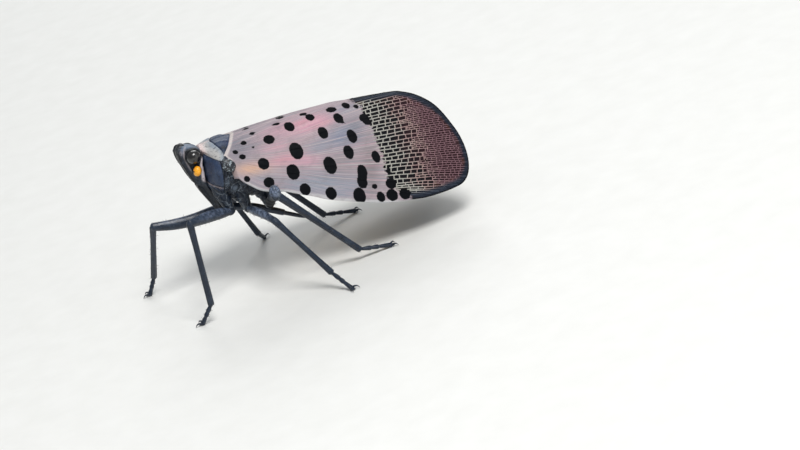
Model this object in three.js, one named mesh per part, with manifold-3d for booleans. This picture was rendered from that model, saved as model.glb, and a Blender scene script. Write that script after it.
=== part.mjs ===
// An adult spotted lanternfly at life size, standing on six feet with its wings folded like a roof.
// Millimetres, +Z up. The head points to -X, and the insect's left side is -Y.

import * as THREE from 'three';
import { mergeVertices } from 'three/addons/utils/BufferGeometryUtils.js';
import Module from 'manifold-3d';

const wasm = await Module();
wasm.setup();

// Clearance between neighbouring sub-parts
const GAP = 0.3;

// How finely the round forms are divided: points round a section, and sections along a form
const DIVISIONS = {
  trunkRound: 20,
  trunkAlong: 24,
  abdomenRound: 16,
  headLevels: 17,
  limbRound: 8,
  tarsusRound: 6,
  spikeRound: 5,
  ballColumns: 16,
  ballRows: 9,
  beadColumns: 12,
  beadRows: 7,
  forewingRows: 13,
  hindwingRows: 8,
};

// The body frame: x runs back along the body, z up from it, y = 0 is the plane of symmetry.
// It is pitched nose-up and carried above the floor by the legs.
const BODY_PITCH = THREE.MathUtils.degToRad(22);
const BODY_ORIGIN = new THREE.Vector3(6.59, 0, 11.12);

// Folded forewing: ridge line, costal edge and spread, as functions of x along the body
const WING = {
  thickness: 0.5,
  midlineHalfGap: 0.15,
  ridgeHeight: 1.7,
  ridgeSlope: 0.378,
  ridgeCurve: 0.0083,
  costalHeight: -0.3,
  costalDrop: 2.25,
  costalRun: 4,
  rootSpread: 3.2,
  spreadGain: 2.1,
  spreadRun: 6,
  roofFlatness: 0.2,
  veinHeight: 0.14,
  veinHalfWidth: 0.0085,
};

// Hindwing: a pleated sheet between the forewing and the abdomen
const HINDWING = { depth: 0.9, thickness: 0.5, pleatHeight: 0.1, pleatHalfWidth: 0.016 };

// Outlines on the wing's own chart: x along the body, t from the ridge (0) to the costal edge (1)
const FOREWING_ROOT = [[0.65, 0], [0.2, 0.38], [-0.24, 0.65], [0.14, 0.8], [0.42, 0.9], [0.62, 1]];
const FOREWING_TIP = [
  [8.5, 0], [11.3, 0], [14.11, 0], [14.94, 0.039], [15.58, 0.092], [16.2, 0.16], [17.28, 0.296],
  [18.35, 0.47], [19.12, 0.596], [19.64, 0.717], [19.75, 0.823], [19.32, 0.895], [18.3, 0.934],
  [16.47, 0.973], [15.09, 0.99], [13, 1], [11.5, 1],
];
const HINDWING_ROOT = [[2.3, 0.2], [2.25, 0.4], [2.25, 0.6], [2.3, 0.78]];
const HINDWING_TIP = [
  [9, 0.12], [12, 0.13], [14.6, 0.18], [16.4, 0.32], [17, 0.5],
  [16.3, 0.68], [14.4, 0.8], [11, 0.86], [8, 0.86],
];

// Where each main vein meets the end of the wing, as a share of the way round it
const FOREWING_VEINS = [0.09, 0.2, 0.3, 0.38, 0.46, 0.54, 0.62, 0.7, 0.79];
const HINDWING_VEINS = [0.12, 0.26, 0.4, 0.54, 0.68, 0.84];

// Cross-sections of the thorax: x, lowest z, highest z, half width, z of the widest level
const THORAX_SECTIONS = [
  [-2.0, -1.35, 0.86, 1.75, -0.1],
  [-1.6, -1.55, 1.06, 2.25, 0.0],
  [-1.1, -1.75, 1.3, 2.75, 0.1],
  [-0.7, -2.1, 1.5, 2.92, 0.1],
  [-0.2, -2.85, 1.68, 2.95, 0.0],
  [0.3, -3.35, 1.78, 2.9, -0.2],
  [0.62, -3.45, 1.78, 2.8, -0.5],
  [0.95, -3.5, 1.2, 2.7, -0.8],
  [1.6, -3.4, 0.8, 2.6, -1.2],
  [2.4, -3.2, 0.75, 2.5, -1.3],
  [3.2, -2.95, 0.95, 2.4, -1.2],
  [3.9, -2.8, 1.0, 2.25, -1.2],
];

// Planes that part the thorax, each through two points (x, z) of the side view
const PROTHORAX_FRONT = [[-1.97, 0.95], [-1.74, -1.6]];
const PROTHORAX_REAR = [[-1.1, 1.2], [-0.5, -1.66]];
const METATHORAX_FRONT = [[1.75, 1.2], [2.35, -3.3]];
const METATHORAX_REAR = [[3.7, 1.5], [3.7, -3.0]];

// Abdomen: x, lowest z, highest z, half width, z of the widest level at the ends of its segments
const ABDOMEN_SECTIONS = [
  [3.85, -2.7, 0.85, 2.15, -1.3],
  [5.2, -2.75, 1.05, 2.25, -1.25],
  [6.6, -2.7, 1.25, 2.3, -1.1],
  [8.0, -2.5, 1.4, 2.25, -0.9],
  [9.4, -2.2, 1.45, 2.1, -0.6],
  [10.7, -1.75, 1.4, 1.85, -0.15],
  [11.9, -1.25, 1.25, 1.45, 0.1],
  [12.9, -0.75, 1.0, 1.0, 0.2],
  [13.8, -0.25, 0.7, 0.5, 0.25],
];

// Head, in level slices: z, x of the face, x of the rear, half width
const HEAD_LEVELS = [
  [1.22, -3.82, -3.4, 0.3],
  [1.1, -3.98, -2.75, 0.8],
  [0.95, -4.05, -2.2, 1.25],
  [0.6, -4.06, -2.1, 1.5],
  [0.2, -4.0, -2.06, 1.58],
  [-0.4, -3.72, -2.0, 1.55],
  [-1.0, -3.33, -1.95, 1.45],
  [-1.6, -2.87, -1.85, 1.3],
  [-2.1, -2.42, -1.6, 1.05],
  [-2.3, -2.2, -1.42, 0.85],
  [-2.9, -1.62, -0.95, 0.72],
  [-3.6, -0.95, -0.42, 0.56],
  [-4.3, -0.3, 0.06, 0.4],
];

// Half of a level slice of the head: share of its depth from the face, share of its half width
const HEAD_OUTLINE = [
  [0.02, 0], [0.0, 0.3], [0.01, 0.56], [-0.03, 0.66], [0.1, 0.7], [0.3, 0.75], [0.52, 0.79],
  [0.78, 0.95], [0.94, 0.94], [1, 0.7], [1, 0],
];

const EYE = { centre: [-2.84, 1.62, 0.59], radius: 0.6, flatAt: 1.56 };
const PEDICEL = { centre: [-2.46, 1.86, -0.72], radii: [0.34, 0.4, 0.45], flatAt: 1.56 };
const ARISTA = { length: 1.5, radius: 0.14, direction: [-0.55, 0.75, 0.2] };
const TEGULA = { centre: [-0.46, 3.0, 0.2], radii: [0.5, 0.42, 0.38], tilt: 0.5 };

// Rostrum: points (x, z) in the plane of symmetry with its radius at each
const ROSTRUM = [
  [0.44, -4.22, 0.3], [1.4, -4.25, 0.33], [2.9, -4.3, 0.33], [4.4, -4.58, 0.3], [5.5, -4.83, 0.28],
  [5.65, -4.87, 0.2], [6.9, -5.14, 0.17], [7.6, -5.3, 0.08],
];

// Legs. Coxa root and hip are in the body frame on the left side (y is mirrored for the right);
// knee, ankle and toe are above the floor, each side with its own stance.
const LEGS = {
  fore: {
    coxaRoot: [-1.05, -1.65, -1.35],
    hip: [0.7, -1.3, -4.26],
    coxaRadii: [0.5, 0.46, 0.38],
    femurRadii: [0.3, 0.42, 0.36],
    tibiaRadii: [0.28, 0.3, 0.26],
    tibiaSpines: 0,
    left: { knee: [1.61, -5.3, 8.73], ankle: [1.03, -5.3, 1.7], toe: [0, -4.7, 0] },
    right: { knee: [-0.4, 1.8, 7.02], ankle: [-1.35, 5.2, 1.6], toe: [-2.1, 5.5, 0] },
  },
  mid: {
    coxaRoot: [1.15, -1.75, -2.3],
    hip: [2.05, -1.5, -3.97],
    coxaRadii: [0.55, 0.5, 0.38],
    femurRadii: [0.3, 0.4, 0.34],
    tibiaRadii: [0.28, 0.3, 0.26],
    tibiaSpines: 0,
    left: { knee: [7.97, -6.3, 6.6], ankle: [10.58, -8.3, 1.52], toe: [11.46, -9.76, 0] },
    right: { knee: [6.7, 5.6, 6.2], ankle: [8.3, 6.1, 1.3], toe: [8.9, 7.6, 0] },
  },
  hind: {
    coxaRoot: [2.95, -1.15, -2.0],
    hip: [3.89, -1.5, -3.66],
    coxaRadii: [0.6, 0.55, 0.42],
    femurRadii: [0.34, 0.42, 0.42],
    tibiaRadii: [0.32, 0.3, 0.27],
    tibiaSpines: 5,
    left: { knee: [9.0, -5.75, 8.2], ankle: [14.0, -4.9, 1.0], toe: [16.6, -4.7, 0] },
    right: { knee: [9.0, 5.75, 8.2], ankle: [14.0, 5.1, 1.0], toe: [16.6, 5.3, 0] },
  },
};
const TARSUS = {
  radius: 0.25,
  waist: 0.18,
  padRadius: 0.3,
  sink: 0.1,
  clawLength: 0.62,
  clawRadius: 0.13,
  clawSpread: 0.45,
  clawRoot: 0.1,
};
const SPINE = { length: 0.55, radius: 0.13 };

const COLOURS = {
  cuticle: { color: 0x2c333c, roughness: 0.55, metalness: 0 },
  dark: { color: 0x23272e, roughness: 0.5, metalness: 0 },
  leg: { color: 0x262c35, roughness: 0.45, metalness: 0 },
  eye: { color: 0x1a1412, roughness: 0.12, metalness: 0 },
  orange: { color: 0xf08a12, roughness: 0.35, metalness: 0 },
  pronotum: { color: 0x8d9097, roughness: 0.7, metalness: 0 },
  tegula: { color: 0x5f6873, roughness: 0.6, metalness: 0 },
  forewing: { color: 0xb9a9a9, roughness: 0.6, metalness: 0 },
  hindwing: { color: 0xa8252a, roughness: 0.6, metalness: 0 },
  abdomen: { color: 0xc9a02a, roughness: 0.6, metalness: 0 },
};

const point = (values) => new THREE.Vector3(values[0], values[1], values[2]);

// A closed manifold solid from a three.js geometry, turned so that its faces point out
function solid(geometry) {
  const bare = geometry.clone();
  bare.deleteAttribute('normal');
  bare.deleteAttribute('uv');
  const merged = mergeVertices(bare, 1e-5);
  const places = merged.attributes.position.array;
  const corners = merged.index.array;
  const [a, b, c] = [new THREE.Vector3(), new THREE.Vector3(), new THREE.Vector3()];
  const faces = [];
  let volume = 0;
  for (let i = 0; i < corners.length; i += 3) {
    const [p, q, r] = [corners[i], corners[i + 1], corners[i + 2]];
    if (p === q || q === r || r === p) continue;
    faces.push([p, q, r]);
    a.fromArray(places, 3 * p);
    b.fromArray(places, 3 * q);
    c.fromArray(places, 3 * r);
    volume += a.dot(b.cross(c));
  }
  const outward = faces.flatMap(([p, q, r]) => (volume > 0 ? [p, q, r] : [p, r, q]));
  const triVerts = new Uint32Array(outward);
  const mesh = new wasm.Mesh({ numProp: 3, vertProperties: new Float32Array(places), triVerts });
  return new wasm.Manifold(mesh);
}

// The largest closed surface of a manifold solid, as a flat-shaded geometry
function surface(body) {
  const pieces = body.decompose();
  const largest = pieces.reduce((best, piece) => (piece.volume() > best.volume() ? piece : best));
  const mesh = largest.getMesh();
  const geometry = new THREE.BufferGeometry();
  const places = new Float32Array((mesh.vertProperties.length / mesh.numProp) * 3);
  for (let i = 0; i < places.length / 3; i += 1) {
    for (let k = 0; k < 3; k += 1) places[3 * i + k] = mesh.vertProperties[i * mesh.numProp + k];
  }
  geometry.setAttribute('position', new THREE.BufferAttribute(places, 3));
  geometry.setIndex(new THREE.BufferAttribute(new Uint32Array(mesh.triVerts), 1));
  geometry.computeVertexNormals();
  return geometry;
}

const fuse = (bodies) => bodies.reduce((sum, body) => sum.add(body));

// A closed skin over a row of rings with equally many points, each end fanned shut about its middle
function loft(rings) {
  const count = rings[0].length;
  const places = rings.flat();
  const faces = [];
  for (let i = 0; i + 1 < rings.length; i += 1) {
    for (let k = 0; k < count; k += 1) {
      const next = (k + 1) % count;
      const [a, b] = [i * count + k, i * count + next];
      faces.push(a, b, b + count, a, b + count, a + count);
    }
  }
  [rings[0], rings[rings.length - 1]].forEach((ring, end) => {
    const middle = places.length;
    const first = end === 0 ? 0 : (rings.length - 1) * count;
    places.push(ring.reduce((sum, p) => sum.add(p), new THREE.Vector3()).divideScalar(count));
    for (let k = 0; k < count; k += 1) {
      const [a, b] = [first + k, first + ((k + 1) % count)];
      if (end === 0) faces.push(b, a, middle);
      else faces.push(a, b, middle);
    }
  });
  const geometry = new THREE.BufferGeometry().setFromPoints(places);
  geometry.setIndex(faces);
  return geometry;
}

// A closed sheet between two grids of points with the same rows and columns, split alike on both faces
function sheet(outer, inner) {
  const [rows, columns] = [outer.length, outer[0].length];
  const places = [...outer.flat(), ...inner.flat()];
  const under = rows * columns;
  const at = (row, column) => row * columns + column;
  const faces = [];
  for (let i = 0; i + 1 < rows; i += 1) {
    for (let k = 0; k + 1 < columns; k += 1) {
      const [a, b, c, d] = [at(i, k), at(i, k + 1), at(i + 1, k + 1), at(i + 1, k)];
      faces.push(a, b, c, a, c, d);
      faces.push(under + a, under + c, under + b, under + a, under + d, under + c);
    }
  }
  const rim = [];
  for (let k = 0; k < columns - 1; k += 1) rim.push(at(0, k));
  for (let i = 0; i < rows - 1; i += 1) rim.push(at(i, columns - 1));
  for (let k = columns - 1; k > 0; k -= 1) rim.push(at(rows - 1, k));
  for (let i = rows - 1; i > 0; i -= 1) rim.push(at(i, 0));
  rim.forEach((a, i) => {
    const b = rim[(i + 1) % rim.length];
    faces.push(b, a, under + a, b, under + a, under + b);
  });
  const geometry = new THREE.BufferGeometry().setFromPoints(places);
  geometry.setIndex(faces);
  return geometry;
}

// Rows of numbers read smoothly at any place between the first row (0) and the last (1)
function readRows(rows, place) {
  const s = THREE.MathUtils.clamp(place, 0, 1) * (rows.length - 1);
  const i = Math.min(Math.floor(s), rows.length - 2);
  const f = s - i;
  const row = (k) => rows[THREE.MathUtils.clamp(k, 0, rows.length - 1)];
  return rows[i].map((value, n) => {
    const [before, start, end, after] = [row(i - 1)[n], value, row(i + 1)[n], row(i + 2)[n]];
    const [slopeIn, slopeOut] = [(end - before) / 2, (after - start) / 2];
    const [f2, f3] = [f * f, f * f * f];
    const fromStart = start * (2 * f3 - 3 * f2 + 1) + slopeIn * (f3 - 2 * f2 + f);
    const fromEnd = end * (3 * f2 - 2 * f3) + slopeOut * (f3 - f2);
    return fromStart + fromEnd;
  });
}

// One cross-section of the trunk: an egg-shaped ring, roof-like above its widest level
function trunkRing([x, low, high, half, widest], count) {
  const [roofPower, bellyPower] = [1.25, 0.95];
  return Array.from({ length: count }, (_, k) => {
    const angle = (2 * Math.PI * k) / count;
    const [c, s] = [Math.cos(angle), Math.sin(angle)];
    const power = s > 0 ? roofPower : bellyPower;
    const y = half * Math.sign(c) * Math.abs(c) ** power;
    const rise = s > 0 ? high - widest : widest - low;
    return new THREE.Vector3(x, y, widest + rise * Math.sign(s) * Math.abs(s) ** power);
  });
}

const ellipsoid = (centre, radii, columns, rows) => {
  const geometry = new THREE.SphereGeometry(1, columns, rows);
  geometry.rotateX(Math.PI / 2);
  geometry.scale(radii[0], radii[1], radii[2]);
  return geometry.translate(centre[0], centre[1], centre[2]);
};

// A tube through points with a radius at each, its ends rounded off
function limb(points, radii, sides = DIVISIONS.limbRound, roundStart = 0.4, roundEnd = 1) {
  const path = points.map((p) => p.clone());
  const rings = [];
  const last = path.length - 1;
  const turn = new THREE.Vector3().subVectors(path[last], path[0]).normalize();
  const across = Math.abs(turn.z) > 0.9 ? new THREE.Vector3(0, 1, 0) : new THREE.Vector3(0, 0, 1);
  const ring = (centre, along, radius) => {
    const u = new THREE.Vector3().crossVectors(along, across).normalize();
    const v = new THREE.Vector3().crossVectors(along, u).normalize();
    return Array.from({ length: sides }, (_, k) => {
      const angle = (2 * Math.PI * (k + 0.5)) / sides;
      const sideways = radius * Math.cos(angle);
      const upward = radius * Math.sin(angle);
      return centre.clone().addScaledVector(u, sideways).addScaledVector(v, upward);
    });
  };
  const direction = (i) => {
    const before = path[Math.max(i - 1, 0)];
    const after = path[Math.min(i + 1, last)];
    return new THREE.Vector3().subVectors(after, before).normalize();
  };
  const capSteps = [0.45, 0.85];
  const start = direction(0);
  [...capSteps].reverse().forEach((s) => {
    const centre = path[0].clone().addScaledVector(start, -s * roundStart * radii[0]);
    rings.push(ring(centre, start, radii[0] * Math.sqrt(1 - s * s)));
  });
  path.forEach((p, i) => rings.push(ring(p, direction(i), radii[i])));
  const end = direction(last);
  capSteps.forEach((s) => {
    const centre = path[last].clone().addScaledVector(end, s * roundEnd * radii[last]);
    rings.push(ring(centre, end, radii[last] * Math.sqrt(1 - s * s)));
  });
  return loft(rings);
}

// A cone that tapers from its root to a tip, set along a direction
function spike(root, direction, length, radius) {
  const cone = new THREE.ConeGeometry(radius, length, DIVISIONS.spikeRound);
  cone.translate(0, length / 2, 0);
  const aim = direction.clone().normalize();
  const turn = new THREE.Quaternion().setFromUnitVectors(new THREE.Vector3(0, 1, 0), aim);
  return cone.applyQuaternion(turn).translate(root.x, root.y, root.z);
}

// The side of a plane given by two points (x, z) of the side view: +1 is behind it, -1 in front
function trim(body, [[x0, z0], [x1, z1]], side) {
  const normal = new THREE.Vector2(z0 - z1, x1 - x0).normalize();
  const offset = normal.x * x0 + normal.y * z0;
  return body.trimByPlane([side * normal.x, 0, side * normal.y], side * offset + GAP / 2);
}

const mirrored = (geometry, side) => (side < 0 ? geometry : geometry.clone().scale(1, -1, 1));

// Forewing chart: the place in the body frame of (x, t) on the left wing, moved along the surface's normal
function wingPlace(x, t, offset = 0) {
  const spread = WING.rootSpread + WING.spreadGain * (1 - Math.exp(-x / WING.spreadRun));
  const ridge = WING.ridgeHeight + WING.ridgeSlope * x - WING.ridgeCurve * x * x;
  const costal = WING.costalHeight - WING.costalDrop * (1 - Math.exp(-x / WING.costalRun));
  const fall = WING.roofFlatness * t + (1 - WING.roofFlatness) * t * t;
  const place = new THREE.Vector3(x, -WING.midlineHalfGap - spread * t, ridge - (ridge - costal) * fall);
  if (offset === 0) return place;
  const step = 0.01;
  const alongX = wingPlace(x + step, t).sub(wingPlace(x - step, t));
  const alongT = wingPlace(x, t + step).sub(wingPlace(x, t - step));
  const normal = new THREE.Vector3().crossVectors(alongT, alongX).normalize();
  if (normal.z < 0) normal.negate();
  const moved = place.clone().addScaledVector(normal, offset);
  if (t >= 0) moved.y = Math.min(moved.y, -WING.midlineHalfGap);
  return moved;
}

// A smooth curve through chart points, with t drawn ten times larger so that lengths compare
const chartCurve = (points) => new THREE.SplineCurve(points.map(([x, t]) => new THREE.Vector2(x, 10 * t)));

// Columns across a wing: a low, a crest and a low for each vein, and plain ones between
function veinColumns(veins, halfWidth) {
  const columns = [{ v: 0, crest: 0 }];
  [...veins, 1].forEach((vein) => {
    const before = columns[columns.length - 1].v;
    const gap = vein - before;
    const plain = gap > 0.16 ? 3 : gap > 0.1 ? 2 : 1;
    for (let k = 1; k <= plain; k += 1) columns.push({ v: before + (gap * k) / (plain + 1), crest: 0 });
    if (vein === 1) return;
    columns.push({ v: vein - halfWidth, crest: 0 }, { v: vein, crest: 1 }, { v: vein + halfWidth, crest: 0 });
  });
  columns.push({ v: 1, crest: 0 });
  return columns;
}

// A wing as a sheet fanned from its root to its outer end, with its veins raised
function fannedWing({ root, tip, veins, halfWidth, height, outside, thickness, rows }) {
  const rootCurve = chartCurve(root);
  const tipCurve = chartCurve(tip);
  const columns = veinColumns(veins, halfWidth);
  const rootShare = (v) => {
    const [innerEnd, hingeStart, hingeEnd] = [0.06, 0.42, 0.95];
    if (v < innerEnd) return (hingeStart * v) / innerEnd;
    if (v > 1 - innerEnd) return 1 - ((1 - hingeEnd) * (1 - v)) / innerEnd;
    return hingeStart + ((hingeEnd - hingeStart) * (v - innerEnd)) / (1 - 2 * innerEnd);
  };
  const outer = [];
  const inner = [];
  for (let i = 0; i < rows; i += 1) {
    const u = (i / (rows - 1)) ** 1.15;
    const fadeIn = THREE.MathUtils.smoothstep(u, 0.02, 0.14);
    const fadeOut = 1 - 0.6 * THREE.MathUtils.smoothstep(u, 0.9, 1);
    const rise = height * fadeIn * fadeOut;
    const places = columns.map(({ v, crest }) => {
      const from = rootCurve.getPointAt(rootShare(v));
      const to = tipCurve.getPointAt(v);
      const chart = from.lerp(to, u);
      const t = THREE.MathUtils.clamp(chart.y / 10, 0, 1);
      return { x: chart.x, t, rise: crest * rise };
    });
    outer.push(places.map(({ x, t, rise: lift }) => wingPlace(x, t, outside + lift)));
    inner.push(places.map(({ x, t }) => wingPlace(x, t, outside - thickness)));
  }
  return sheet(outer, inner);
}

// Space kept free around a wing: from well outside it to a depth below its outer face
const WING_SPACE = {
  rows: 8,
  columns: 13,
  firstT: -0.08,
  lastT: 1.09,
  above: 2.2,
  rearX: 4.4,
  hindwingFrontX: 1.95,
};

function wingSpace(frontOf, depth) {
  const { rows, columns, firstT, lastT, above, rearX } = WING_SPACE;
  const outer = [];
  const inner = [];
  for (let i = 0; i < rows; i += 1) {
    const across = Array.from({ length: columns }, (_, k) => firstT + ((lastT - firstT) * k) / (columns - 1));
    const places = across.map((t) => [THREE.MathUtils.lerp(frontOf(t), rearX, i / (rows - 1)), t]);
    outer.push(places.map(([x, t]) => wingPlace(x, t, above)));
    inner.push(places.map(([x, t]) => wingPlace(x, t, -depth)));
  }
  return solid(sheet(outer, inner));
}

// Front edge of the forewing at t, moved forward by the gap and a little more where the edge runs aslant
function forewingFront(t) {
  const edge = FOREWING_ROOT;
  const inside = THREE.MathUtils.clamp(t, 0, 1);
  const k = Math.max(1, edge.findIndex(([, next]) => next >= inside));
  const [[x0, t0], [x1, t1]] = [edge[k - 1], edge[k]];
  const aslant = 0.1;
  return THREE.MathUtils.lerp(x0, x1, (inside - t0) / (t1 - t0)) - GAP - aslant;
}

const insect = new THREE.Group();
const body = new THREE.Group();
body.rotation.y = BODY_PITCH;
body.position.copy(BODY_ORIGIN);
insect.add(body);
body.updateMatrixWorld(true);

function place(parent, name, geometry, finish) {
  const mesh = new THREE.Mesh(geometry, new THREE.MeshStandardMaterial(COLOURS[finish]));
  mesh.name = name;
  parent.add(mesh);
  return mesh;
}

const SIDES = [['left', -1], ['right', 1]];

// Fore, mid and hind coxae in the body frame, thicker by a margin for the socket that each sits in
function coxa(leg, side, margin = 0) {
  const root = point(leg.coxaRoot);
  const hip = point(leg.hip);
  const middle = root.clone().lerp(hip, 0.45);
  const radii = leg.coxaRadii.map((radius) => radius + margin);
  const start = root.addScaledVector(new THREE.Vector3().subVectors(hip, root).normalize(), -margin);
  return mirrored(limb([start, middle, hip], radii, DIVISIONS.limbRound, 0.5, 1), side);
}

function tegula(side, margin = 0) {
  const radii = TEGULA.radii.map((radius) => radius + margin);
  const geometry = ellipsoid([0, 0, 0], radii, DIVISIONS.beadColumns, DIVISIONS.beadRows);
  geometry.rotateY(TEGULA.tilt);
  const [x, y, z] = TEGULA.centre;
  return geometry.translate(x, side * y, z);
}

const eyeball = (side, margin = 0) => {
  const [x, y, z] = EYE.centre;
  const radius = EYE.radius + margin;
  return ellipsoid([x, side * y, z], [radius, radius, radius], DIVISIONS.ballColumns, DIVISIONS.ballRows);
};

const pedicel = (side, margin = 0) => {
  const [x, y, z] = PEDICEL.centre;
  const radii = PEDICEL.radii.map((radius) => radius + margin);
  return ellipsoid([x, side * y, z], radii, DIVISIONS.beadColumns, DIVISIONS.beadRows);
};

// Keeps what lies further from the plane of symmetry than a distance
const outside = (solidBody, side, distance) => solidBody.trimByPlane([0, side, 0], distance);

function buildHead() {
  const levels = DIVISIONS.headLevels;
  const rings = Array.from({ length: levels }, (_, i) => {
    const [z, face, rear, half] = readRows(HEAD_LEVELS, i / (levels - 1));
    const halfRing = HEAD_OUTLINE.map(([depth, width]) => {
      const x = THREE.MathUtils.lerp(face, rear, depth);
      return new THREE.Vector3(x, -half * width, z);
    });
    const otherHalf = halfRing.slice(1, -1).reverse().map((p) => new THREE.Vector3(p.x, -p.y, p.z));
    return [...halfRing, ...otherHalf];
  });
  let head = solid(loft(rings));
  SIDES.forEach(([, side]) => {
    head = head.subtract(solid(eyeball(side, GAP)));
    head = head.subtract(solid(pedicel(side, GAP)));
  });
  return head;
}

function buildThorax() {
  const stations = DIVISIONS.trunkAlong;
  const rings = Array.from({ length: stations }, (_, i) => {
    const section = readRows(THORAX_SECTIONS, i / (stations - 1));
    return trunkRing(section, DIVISIONS.trunkRound);
  });
  let trunk = solid(loft(rings));
  const forewingSpace = wingSpace(forewingFront, WING.thickness + GAP);
  const hindwingDepth = HINDWING.depth + HINDWING.thickness + GAP;
  const hindwingSpace = wingSpace(() => WING_SPACE.hindwingFrontX, hindwingDepth);
  const mirrorY = (piece) => piece.mirror([0, 1, 0]);
  [forewingSpace, mirrorY(forewingSpace), hindwingSpace, mirrorY(hindwingSpace)].forEach((space) => {
    trunk = trunk.subtract(space);
  });
  SIDES.forEach(([, side]) => {
    Object.values(LEGS).forEach((leg) => {
      trunk = trunk.subtract(solid(coxa(leg, side, GAP)));
    });
    trunk = trunk.subtract(solid(tegula(side, GAP)));
  });
  return {
    prothorax: trim(trim(trunk, PROTHORAX_FRONT, 1), PROTHORAX_REAR, -1),
    mesothorax: trim(trim(trunk, PROTHORAX_REAR, 1), METATHORAX_FRONT, -1),
    metathorax: trim(trim(trunk, METATHORAX_FRONT, 1), METATHORAX_REAR, -1),
  };
}

// Abdomen: each segment swells towards its hind edge and steps in where the next one begins
function buildAbdomen() {
  const segments = ABDOMEN_SECTIONS.length - 1;
  const stepIn = 0.07;
  const rings = [];
  for (let i = 0; i < segments; i += 1) {
    [[0.03, stepIn], [0.5, 0.02], [0.93, 0]].forEach(([share, shrink]) => {
      const [x, low, high, half, widest] = readRows(ABDOMEN_SECTIONS, (i + share) / segments);
      const inset = Math.min(shrink, half * 0.1);
      rings.push(trunkRing([x, low + inset, high - inset, half - inset, widest], DIVISIONS.abdomenRound));
    });
  }
  rings.push(trunkRing(ABDOMEN_SECTIONS[segments], DIVISIONS.abdomenRound));
  let abdomen = solid(loft(rings));
  SIDES.forEach(([, side]) => {
    abdomen = abdomen.subtract(solid(coxa(LEGS.hind, side, GAP)));
  });
  return abdomen;
}

function buildRostrum() {
  const points = ROSTRUM.map(([x, z]) => new THREE.Vector3(x, 0, z));
  return limb(points, ROSTRUM.map(([, , radius]) => radius), DIVISIONS.limbRound, 0.3, 1.4);
}

// One leg segment between two joints, round at its far end. It starts clear of the segment before it,
// and further off where the joint is bent so sharply that the two lie close together.
function segment(before, from, to, radiusBefore, radii) {
  const along = new THREE.Vector3().subVectors(to, from).normalize();
  const back = new THREE.Vector3().subVectors(before, from).normalize();
  const cosine = Math.max(0, back.dot(along));
  const sine = Math.sqrt(1 - cosine * cosine);
  const clear = (radiusBefore + GAP + radii[0] * cosine) / sine;
  const start = from.clone().addScaledVector(along, clear);
  const points = [0, 0.12, 0.5, 0.85, 1].map((s) => start.clone().lerp(to, s));
  const [first, middle, last] = radii;
  const beforeMiddle = THREE.MathUtils.lerp(first, middle, 0.6);
  const afterMiddle = THREE.MathUtils.lerp(middle, last, 0.7);
  const swell = [first, beforeMiddle, middle, afterMiddle, last];
  return limb(points, swell, DIVISIONS.limbRound, 0.25, 1);
}

function buildTibia(leg, hip, knee, ankle, side) {
  const pieces = [solid(segment(hip, knee, ankle, leg.femurRadii[2], leg.tibiaRadii))];
  const along = new THREE.Vector3().subVectors(ankle, knee).normalize();
  const outward = new THREE.Vector3(0, side, 0.35).normalize();
  for (let k = 0; k < leg.tibiaSpines; k += 1) {
    const root = knee.clone().lerp(ankle, 0.36 + 0.135 * k).addScaledVector(outward, 0.12);
    const lean = outward.clone().addScaledVector(along, 0.9);
    pieces.push(solid(spike(root, lean, SPINE.length + 0.12, SPINE.radius)));
  }
  return fuse(pieces);
}

// Tarsus: three swollen joints, a pad and two spread claws, cut flat where they stand on the floor
function buildTarsus(leg, ankle, toe) {
  const along = new THREE.Vector3().subVectors(toe, ankle).normalize();
  const start = ankle.clone().addScaledVector(along, leg.tibiaRadii[2] + GAP);
  const end = toe.clone().setZ(TARSUS.padRadius - TARSUS.sink);
  const shares = [0, 0.28, 0.36, 0.58, 0.66, 1];
  const { radius, waist, padRadius } = TARSUS;
  const radii = [radius, radius, waist, radius, waist, padRadius];
  const points = shares.map((s) => start.clone().lerp(end, s));
  const pieces = [solid(limb(points, radii, DIVISIONS.tarsusRound, 0.25, 0.9))];
  const flat = new THREE.Vector3(along.x, along.y, 0).normalize();
  const sideways = new THREE.Vector3(-flat.y, flat.x, 0);
  [-1, 1].forEach((side) => {
    const direction = flat.clone().addScaledVector(sideways, side * TARSUS.clawSpread).setZ(-0.12);
    const root = end.clone().addScaledVector(sideways, side * TARSUS.clawRoot);
    pieces.push(solid(spike(root, direction, TARSUS.clawLength, TARSUS.clawRadius)));
  });
  return fuse(pieces).trimByPlane([0, 0, 1], 0);
}

function addBody() {
  place(body, 'head', surface(buildHead()), 'cuticle');
  const thorax = buildThorax();
  place(body, 'prothorax', surface(thorax.prothorax), 'pronotum');
  place(body, 'mesothorax', surface(thorax.mesothorax), 'cuticle');
  place(body, 'metathorax', surface(thorax.metathorax), 'dark');
  place(body, 'abdomen', surface(buildAbdomen()), 'abdomen');
  place(body, 'rostrum', surface(solid(buildRostrum())), 'dark');
  SIDES.forEach(([name, side]) => {
    place(body, `eye_${name}`, surface(outside(solid(eyeball(side)), side, EYE.flatAt)), 'eye');
    const [x, y, z] = PEDICEL.centre;
    const [dx, dy, dz] = ARISTA.direction;
    const root = new THREE.Vector3(x, side * y, z);
    const bristle = spike(root, new THREE.Vector3(dx, side * dy, dz), ARISTA.length, ARISTA.radius);
    const antenna = outside(solid(pedicel(side)).add(solid(bristle)), side, PEDICEL.flatAt);
    place(body, `antenna_${name}`, surface(antenna), 'orange');
    place(body, `tegula_${name}`, surface(solid(tegula(side))), 'tegula');
  });
}

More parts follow.
